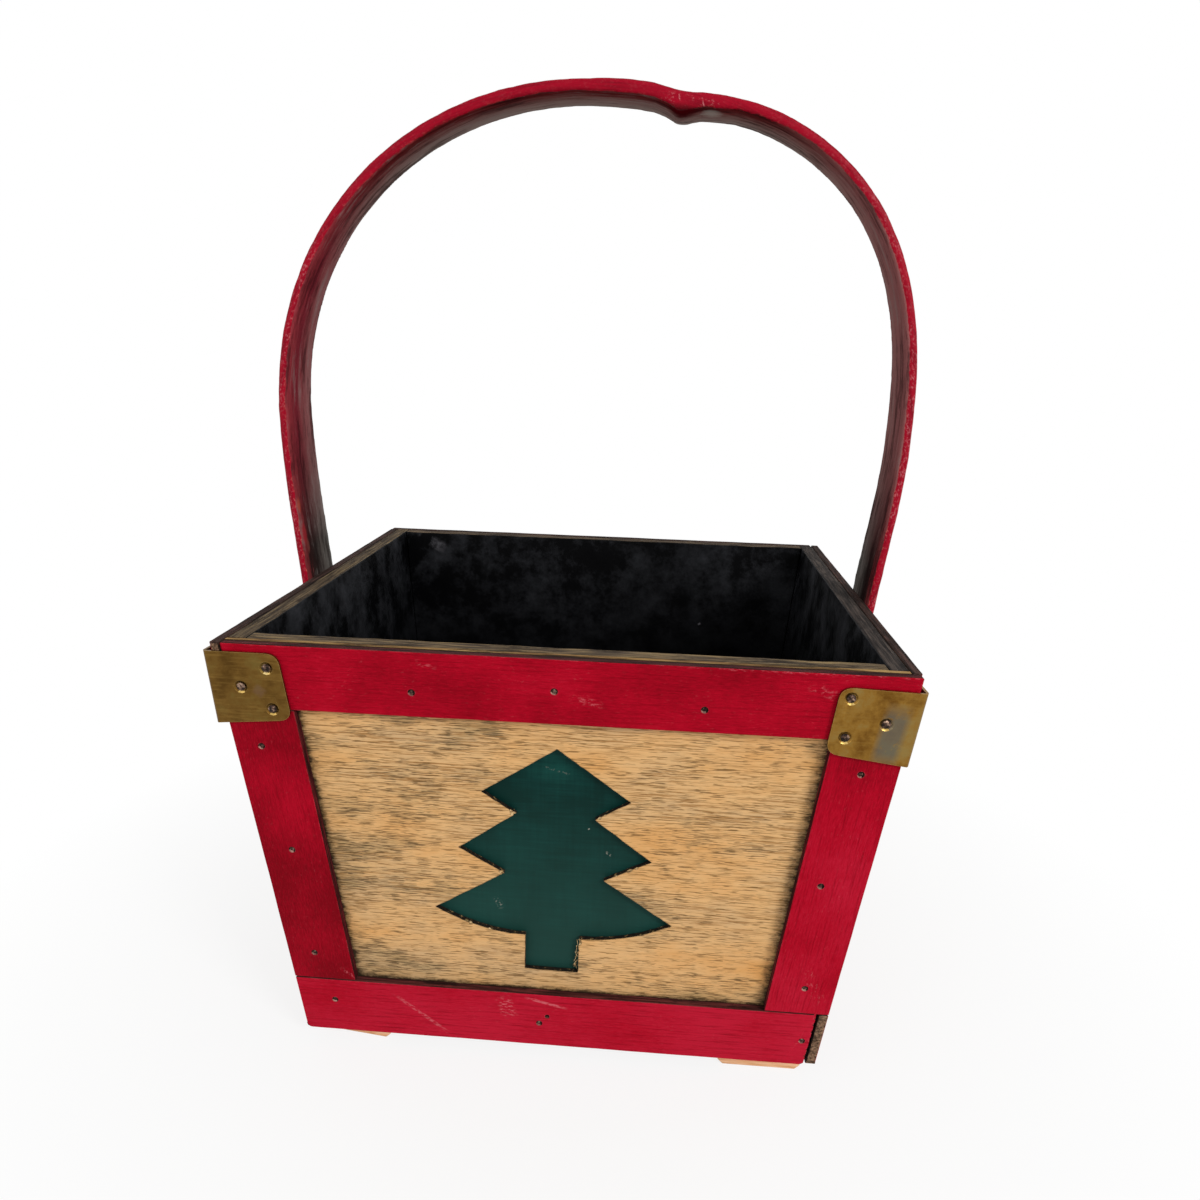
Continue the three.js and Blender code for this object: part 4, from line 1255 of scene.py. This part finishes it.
print("face ply with the tree")
plyShape = {
    "faceDepth": 3.5, "thick": 1.8,  # the face lies behind the outer face of the strips
    "treeHalf": 50, "treeTop": 25, "treeFoot": 130,  # the part of the face that holds the tree
    "lipStep": 1.6, "lipRounds": 5, "lipJitter": 0.16, "overrun": 2,  # the cutter runs past both faces
    "chipReach": 1.7, "chipLift": 0.1,
    "chips": [  # across, down the face, and size: corners of the ply that broke out by the saw
        (-14.6, 58.2, 1.1), (-15.6, 57.3, 0.8), (12.9, 57.4, 0.9), (14.6, 56.4, 0.7),
        (19.2, 79.6, 0.8), (23.6, 77.6, 1.0), (26.0, 76.6, 0.6), (-19.4, 81.6, 0.8), (-30.6, 104.4, 0.7),
        (-24.0, 106.0, 0.6), (7.2, 109.4, 1.2), (6.6, 113.0, 0.9), (6.2, 117.6, 1.0), (5.8, 121.2, 0.8),
    ],
}
ways = wallDirections("front")
faceDepth = plyShape["faceDepth"]
treeHeights = (heightAtDrop(plyShape["treeFoot"]), heightAtDrop(plyShape["treeTop"]))


def onTree(place):
    return abs(place.x) < plyShape["treeHalf"] and treeHeights[0] < place.z < treeHeights[1]


def isLongLip(a, b):  # an edge of the saw cut that runs along a face of the ply
    return abs((b - a).dot(ways["out"])) < 0.5 and (b - a).length > 2 * plyShape["lipStep"]


def isChipped(normal, centre):  # a torn face at one of the chips
    if not onTree(centre) or not 0.1 < normal.dot(ways["out"]) < 0.985:
        return False
    return any((centre * mm - spot).length < plyShape["chipReach"] * mm for spot in chipSpots)


# the sawn walls of the tree, taken from the CAD ply, become a jagged cutter
cutter = copyNode("front_face_ply", "tree_cutter")
bpy.ops.mesh.dissolve_limited(angle_limit=flatAngle)
bpy.ops.mesh.select_mode(type="FACE")
bpy.ops.mesh.select_all(action="DESELECT")
shape = bmesh.from_edit_mesh(cutter.data)
for face in shape.faces:
    place = face.calc_center_median() / mm
    face.select_set(not (onTree(place) and abs(face.normal.dot(ways["out"])) < 0.5))
bmesh.update_edit_mesh(cutter.data)
bpy.ops.mesh.delete(type="FACE")
for turn in range(plyShape["lipRounds"]):
    pickEdges(cutter, isLongLip)
    bpy.ops.mesh.subdivide(number_cuts=1)
bpy.ops.mesh.select_all(action="SELECT")
bpy.ops.transform.vertex_random(offset=plyShape["lipJitter"] * mm, uniform=0.2, seed=5)
bpy.ops.mesh.select_mode(type="EDGE")
middleLevel = wallPoint("front", 0, 0, faceDepth + plyShape["thick"] / 2).dot(ways["out"]) / mm
for side in (1, -1):
    pickEdges(cutter, lambda a, b: min(
        side * (end.dot(ways["out"]) - middleLevel) for end in (a, b)
    ) > 0.4)
    overrun = ways["out"] * side * plyShape["overrun"] * mm
    bpy.ops.mesh.extrude_region_move(TRANSFORM_OT_translate={"value": overrun})
    bpy.ops.mesh.edge_face_add()
bpy.ops.mesh.select_all(action="SELECT")
bpy.ops.mesh.normals_make_consistent(inside=False)
leaveEdit()
chips = []
chipSpots = []
for across, drop, size in plyShape["chips"]:
    chipSpots.append(wallPoint("front", across, drop, faceDepth))
    middle = wallPoint("front", across, drop, faceDepth - plyShape["chipLift"] * size)
    chips.append(addChip(middle, size, len(chips)))
piece = copyBlock("front_face_ply", "tree_face_ply")
leaveEdit()
cutAway(piece, joinPieces([cutter] + chips, "tree_cutter"))
markGrain(piece, ways["rail"], ways["out"], wallPoint("front", 0, 0), 0)
finishFaces(piece, [
    (chipWood, isChipped),
    (plyTop, lambda normal, centre: normal.z > 0.6 and not onTree(centre)),
    (facePlyWood, lambda normal, centre: normal.dot(ways["out"]) > 0.9),
    (sawCut, lambda normal, centre: True),
])
finishPiece(piece, "natural_ply", "front_face_ply", smooth=4)

splinterLook = {
    "count": 26, "thick": 0.16, "long": 1.9, "longShares": (0.5, 1.2), "bent": 0.08,
    # they stand along the right side of the trunk, whose upper end lies across and down the face at "edge"
    "drops": (108.6, 122.4), "edge": (7.4, 108), "lean": 0.13, "offEdge": 0.5, "depths": (0.1, 0.9),
    "turns": ((-0.5, 0.5), (2.6, 4.2), (-0.4, 0.4)),
}
scatter = random.Random(11)
splinters = []
for i in range(splinterLook["count"]):
    drop = scatter.uniform(*splinterLook["drops"])
    across = splinterLook["edge"][0] - (drop - splinterLook["edge"][1]) * splinterLook["lean"]
    across += scatter.uniform(-splinterLook["offEdge"], splinterLook["offEdge"])
    length = splinterLook["long"] * scatter.uniform(*splinterLook["longShares"])
    depth = faceDepth + scatter.uniform(*splinterLook["depths"])
    turn = [scatter.uniform(*span) for span in splinterLook["turns"]]
    deselectAll()
    bpy.ops.mesh.primitive_cone_add(
        vertices=4, radius1=splinterLook["thick"] * mm, depth=length * mm,
        location=wallPoint("front", across, drop, depth), rotation=turn,
    )
    splinters.append(bpy.context.object)
piece = joinPieces(splinters, "trunk_splinters")
editPiece(piece)
bpy.ops.transform.vertex_random(offset=splinterLook["bent"] * mm, seed=3)
leaveEdit()
piece.data.materials.append(chipWood)
finishPiece(piece, "natural_ply")

print("brass corners and pins")
brassLook = {
    "headReach": 3.9, "rimRadius": 2.2, "countersink": 0.22, "edgeRound": 0.12, "sharpAngle": 50,
    "facet": 1, "rimLevel": -0.15, "flareLevel": -0.25,  # edges round a hole are shorter than a facet
    "leaf": 25, "bow": 11, "seat": 3.2,  # seat is the metal round a pin that the pin holds in place
    # the front corners sit off true: lower at the leaf's end and at the bend,
    # and off the stile at the top and bottom of the bend
    "lower": {"front_left": (0, 0), "front_right": (1.2, 2.1)},
    "standOff": {"front_left": (0.9, 2.4), "front_right": (0.6, 0.8)},
}


# The middle of each pin's head on the leaf, and the leaf's way out; the pins are driven in level
def pinRims(corner):
    rims = []
    for wall in walls:
        out = wallDirections(wall)["out"]
        level = Vector((out.x, out.y, 0)).normalized()
        for name in nodes:
            if name.startswith(f"pin_{corner}_on_{wall}_"):
                low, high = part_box(name)
                rims.append(((low + high) / 2 / mm + level * brassLook["headReach"], out))
    return rims


# Whether a place is in the hole of a pin or at its edge, and not deeper than a level on the leaf
def onRim(place, rims, lowest):
    for middle, out in rims:
        offset = place - middle
        rise = offset.dot(out)
        if (offset - out * rise).length < brassLook["rimRadius"] and lowest < rise < 1:
            return True
    return False


# Sets a front corner off true in edit mode
def setOffTrue(piece, corner, rims):
    side = -1 if corner == "front_left" else 1
    endLow, bendLow = brassLook["lower"][corner]
    topOff, lowOff = brassLook["standOff"][corner]
    slope = box["slope"]
    for vertex in bmesh.from_edit_mesh(piece.data).verts:
        place = vertex.co / mm
        if any((place - middle).length < brassLook["seat"] for middle, out in rims):
            continue
        drop = box["rim"] - place.z
        fromBend = max(0, box["halfWidth"] - drop * slope - side * place.x) / brassLook["leaf"]
        along = max(0, place.y + box["halfDepth"] - drop * slope) / brassLook["bow"]
        lower = bendLow + (endLow - bendLow) * min(1, fromBend)
        off = topOff + (lowOff - topOff) * min(1, drop / brassLook["leaf"])
        off *= max(0, 1 - 2 * fromBend) * max(0, 1 - along)
        vertex.co += Vector((side * (off - slope * lower), slope * lower, -lower)) * mm
    bmesh.update_edit_mesh(piece.data)


for corner in corners:
    piece = copyNode(f"brass_corner_{corner}", f"brass_cap_{corner}")
    bpy.ops.mesh.dissolve_limited(angle_limit=flatAngle)
    rims = pinRims(corner)
    if corner in brassLook["lower"]:
        setOffTrue(piece, corner, rims)
    pickEdges(piece, lambda a, b: (b - a).length < brassLook["facet"] and all(
        onRim(end, rims, brassLook["rimLevel"]) for end in (a, b)
    ))
    bpy.ops.mesh.bevel(offset=brassLook["countersink"] * mm, segments=1, affect="EDGES")
    leaveEdit()
    applyModifier(
        piece, "BEVEL", width=brassLook["edgeRound"] * mm, segments=2, limit_method="ANGLE",
        angle_limit=math.radians(brassLook["sharpAngle"]),
    )
    # countersink flanks that face upwards get the painted highlight
    finishFaces(piece, [
        (brassRimHighlight, lambda normal, centre: normal.z > 0.4
         and onRim(centre, rims, brassLook["flareLevel"])),
        (brassCoats.get(corner, brassCoats["back"]), lambda normal, centre: True),
    ])
    finishPiece(piece, "aged_brass", f"brass_corner_{corner}", smooth=12)
for name, node in nodes.items():
    if name.startswith(("pin_", "handle_nail")):
        node.data.materials.clear()
        node.data.materials.append(pinMetal)

print("handle")
handleShape = {
    "voxel": 0.75, "smoothing": 3, "fatten": 0.3, "centreHeight": 200, "meanRadius": 130,
    "redLap": 1.0, "lapReach": 120,
    "sheenEnds": 0.74,  # share of facing inwards past which the paint has no sheen, its reflection painted into the colour
    "groove": 6.2, "grooveHalf": 0.9, "grooveDepth": 0.22, "grooveWave": 0.6, "waveLength": 9,
    "knot": (29.5, 0, 323), "knotReach": 12, "knotFade": 1.4, "lumpSize": 3.6, "lumpDepth": 0.7,
    "knotSmoothing": 8, "crownFrom": 300,
    # place along the crown, reach and rise; the outer side or, with -1, the inner one
    "swells": [(14, 16, 0.8, 1), (28, 8, -0.5, 1), (37, 11, -0.7, -1)],
    "unevenSize": 6, "unevenDepth": 0.3,
}
piece = copyNode("handle", "bentwood_handle")
leaveEdit()
piece.data.remesh_voxel_size = handleShape["voxel"] * mm
bpy.ops.object.voxel_remesh()
applyModifier(piece, "SMOOTH", factor=0.5, iterations=handleShape["smoothing"])


def fromHandleMiddle(place):
    return Vector((place.x, 0, place.z - handleShape["centreHeight"]))


def facesInward(place, normal):
    return -normal.dot(fromHandleMiddle(place).normalized())


# A vertex group for one modifier; weigh takes a place in millimetres and a normal
def weighVertices(piece, weigh):
    group = piece.vertex_groups.new(name="weights")
    for vertex in piece.data.vertices:
        weight = weigh(vertex.co / mm, vertex.normal)
        if weight > 0:
            group.add([vertex.index], min(1, weight), "REPLACE")
    return group.name


def inGroove(place, normal):
    wave = handleShape["grooveWave"] * math.sin(place.x / handleShape["waveLength"])
    off = place.y - handleLook["frontEdge"] - handleShape["groove"] - wave
    return facesInward(place, normal) > 0.6 and abs(off) < handleShape["grooveHalf"]


def nearKnot(place, normal):
    away = place - Vector(handleShape["knot"])
    away.y = 0
    return handleShape["knotFade"] * (1 - away.length / handleShape["knotReach"])


editPiece(piece)
bpy.ops.transform.shrink_fatten(value=handleShape["fatten"] * mm)
pickVertices(piece, inGroove)
bpy.ops.transform.shrink_fatten(value=-handleShape["grooveDepth"] * mm)
leaveEdit()
for centre, reach, rise, side in handleShape["swells"]:
    weights = weighVertices(piece, lambda place, normal: place.z > handleShape["crownFrom"]
                            and (0.5 + 0.5 * side * normal.z) * (1 - ((place.x - centre) / reach) ** 2))
    applyModifier(piece, "DISPLACE", direction="Z", mid_level=0, strength=rise * mm, vertex_group=weights)
    piece.vertex_groups.clear()
weights = weighVertices(piece, nearKnot)
roughen(piece, handleShape["lumpSize"], handleShape["lumpDepth"], vertex_group=weights)
applyModifier(piece, "SMOOTH", factor=0.5, iterations=handleShape["knotSmoothing"], vertex_group=weights)
piece.vertex_groups.clear()
roughen(piece, handleShape["unevenSize"], handleShape["unevenDepth"])
applyModifier(piece, "SMOOTH", factor=0.5, iterations=1)
grainValues = []
insideValues = []
for vertex in piece.data.vertices:
    place = vertex.co / mm
    spoke = fromHandleMiddle(place)
    arc = math.atan2(spoke.x, spoke.z) * handleShape["meanRadius"]
    grainValues += [arc, place.y, spoke.length]
    inward = max(0, min(1, 0.5 + 0.8 * facesInward(place, vertex.normal)))
    lap = max(0, min(1, (place.y - handleLook["frontEdge"]) / handleShape["redLap"]))
    lap = max(lap, min(1, abs(arc) / handleShape["lapReach"]))  # red laps round the front edge at the crown
    insideValues.append(inward * (0.6 + 0.4 * lap))
piece.data.attributes.new("grain", "FLOAT_VECTOR", "POINT").data.foreach_set("vector", grainValues)
piece.data.attributes.new("inside", "FLOAT", "POINT").data.foreach_set("value", insideValues)
for paint in bentPaints:
    piece.data.materials.append(paint)
for face in piece.data.polygons:
    leastInside = min(insideValues[vertex] for vertex in face.vertices)
    face.material_index = int(leastInside > handleShape["sheenEnds"])
finishPiece(piece, "red_painted_bentwood", "handle")

print("feet")
footShape = {
    "ease": 0.35, "shift": 53,
    "setBack": {"front_left": 1.2}, "frontWay": (-0.12, -0.99, 0),  # this one stands further under the box
}
for place, corner in enumerate(corners):
    piece = copyBlock(f"foot_{corner}", f"pine_foot_{corner}")
    if corner in footShape["setBack"]:
        trimEnd(piece, Vector(footShape["frontWay"]), footShape["setBack"][corner])
    bpy.ops.mesh.bevel(offset=footShape["ease"] * mm, segments=2, affect="EDGES")
    leaveEdit()
    markGrain(piece, Vector((1, 0, 0)), Vector((0, 0, -1)), Vector(), footShape["shift"] * place)
    piece.data.materials.append(footWood)
    finishPiece(piece, "raw_wood", f"foot_{corner}")

print("stage")
scene = bpy.context.scene
scene.view_settings.view_transform = "Standard"


# The share of white that only the eye and reflections see, so that no light is added to the object
def addSeenOnly(tree):
    rays = addNode(tree, "ShaderNodeLightPath")
    seen = addNode(tree, "ShaderNodeMath", {
        0: rays.outputs["Is Camera Ray"], 1: rays.outputs["Is Glossy Ray"],
    }, operation="MAXIMUM")
    return addNode(tree, "ShaderNodeMath", {
        0: seen, 1: rays.outputs["Is Transmission Ray"],
    }, operation="MAXIMUM")


floorLook = {"size": 6000, "colour": "#ececea", "lift": 0.84, "clearFrom": 110, "clearTo": 280}
deselectAll()
bpy.ops.mesh.primitive_plane_add(size=floorLook["size"] * mm)
floor = bpy.context.object
floor.name = "floor"
material, tree, shader = newMaterial("pale_floor", Roughness=0.9, Specular_IOR_Level=0.1)
shader.inputs["Base Color"].default_value = linearColour(floorLook["colour"])
fromMiddle = addNode(tree, "ShaderNodeVectorMath", {
    0: addNode(tree, "ShaderNodeTexCoord").outputs["Object"],
}, operation="LENGTH").outputs["Value"]
away = addNode(tree, "ShaderNodeMapRange", {
    "Value": fromMiddle, "From Min": floorLook["clearFrom"] * mm, "From Max": floorLook["clearTo"] * mm,
    "To Min": floorLook["lift"],
})
whiten = addNode(tree, "ShaderNodeMath", {0: addSeenOnly(tree), 1: away}, operation="MULTIPLY")
white = addNode(tree, "ShaderNodeEmission", {"Color": "#ffffff", "Strength": 1})
mixed = addNode(tree, "ShaderNodeMixShader", {0: whiten, 1: shader, 2: white})
tree.links.new(mixed.outputs[0], tree.nodes["Material Output"].inputs["Surface"])
floor.data.materials.append(material)

studio = {"ambient": 0.42, "aimHeight": 120}
world = bpy.data.worlds.new("studio")
scene.world = world
world.use_nodes = True
tree = world.node_tree
level = addNode(tree, "ShaderNodeMapRange", {
    "Value": addSeenOnly(tree), "To Min": studio["ambient"], "To Max": 1,
})
tree.nodes["Background"].inputs["Color"].default_value = linearColour("#ffffff")
tree.links.new(level.outputs[0], tree.nodes["Background"].inputs["Strength"])

lamps = {
    "key": {"place": (1900, -1900, 1600), "size": 800, "power": 56},
    "fill": {"place": (-1800, -1600, 900), "size": 1600, "power": 12},
}
for name, lamp in lamps.items():
    deselectAll()
    bpy.ops.object.light_add(type="AREA", location=[value * mm for value in lamp["place"]])
    light = bpy.context.object
    light.name = name
    light.data.size = lamp["size"] * mm
    light.data.energy = lamp["power"]
    aim = Vector((0, 0, studio["aimHeight"] * mm)) - light.location
    light.rotation_euler = aim.to_track_quat("-Z", "Y").to_euler()

cameraLook = {
    "place": (27.43, -341.32, 246.25), "turn": (74.56, -1.64, 4.07), "focal": 26.27, "sensor": 36,
    "clipStart": 10,
}
deselectAll()
bpy.ops.object.camera_add(
    location=[value * mm for value in cameraLook["place"]],
    rotation=[math.radians(angle) for angle in cameraLook["turn"]],
)
camera = bpy.context.object
camera.data.lens = cameraLook["focal"]
camera.data.sensor_width = cameraLook["sensor"]
camera.data.clip_start = cameraLook["clipStart"] * mm
scene.camera = camera
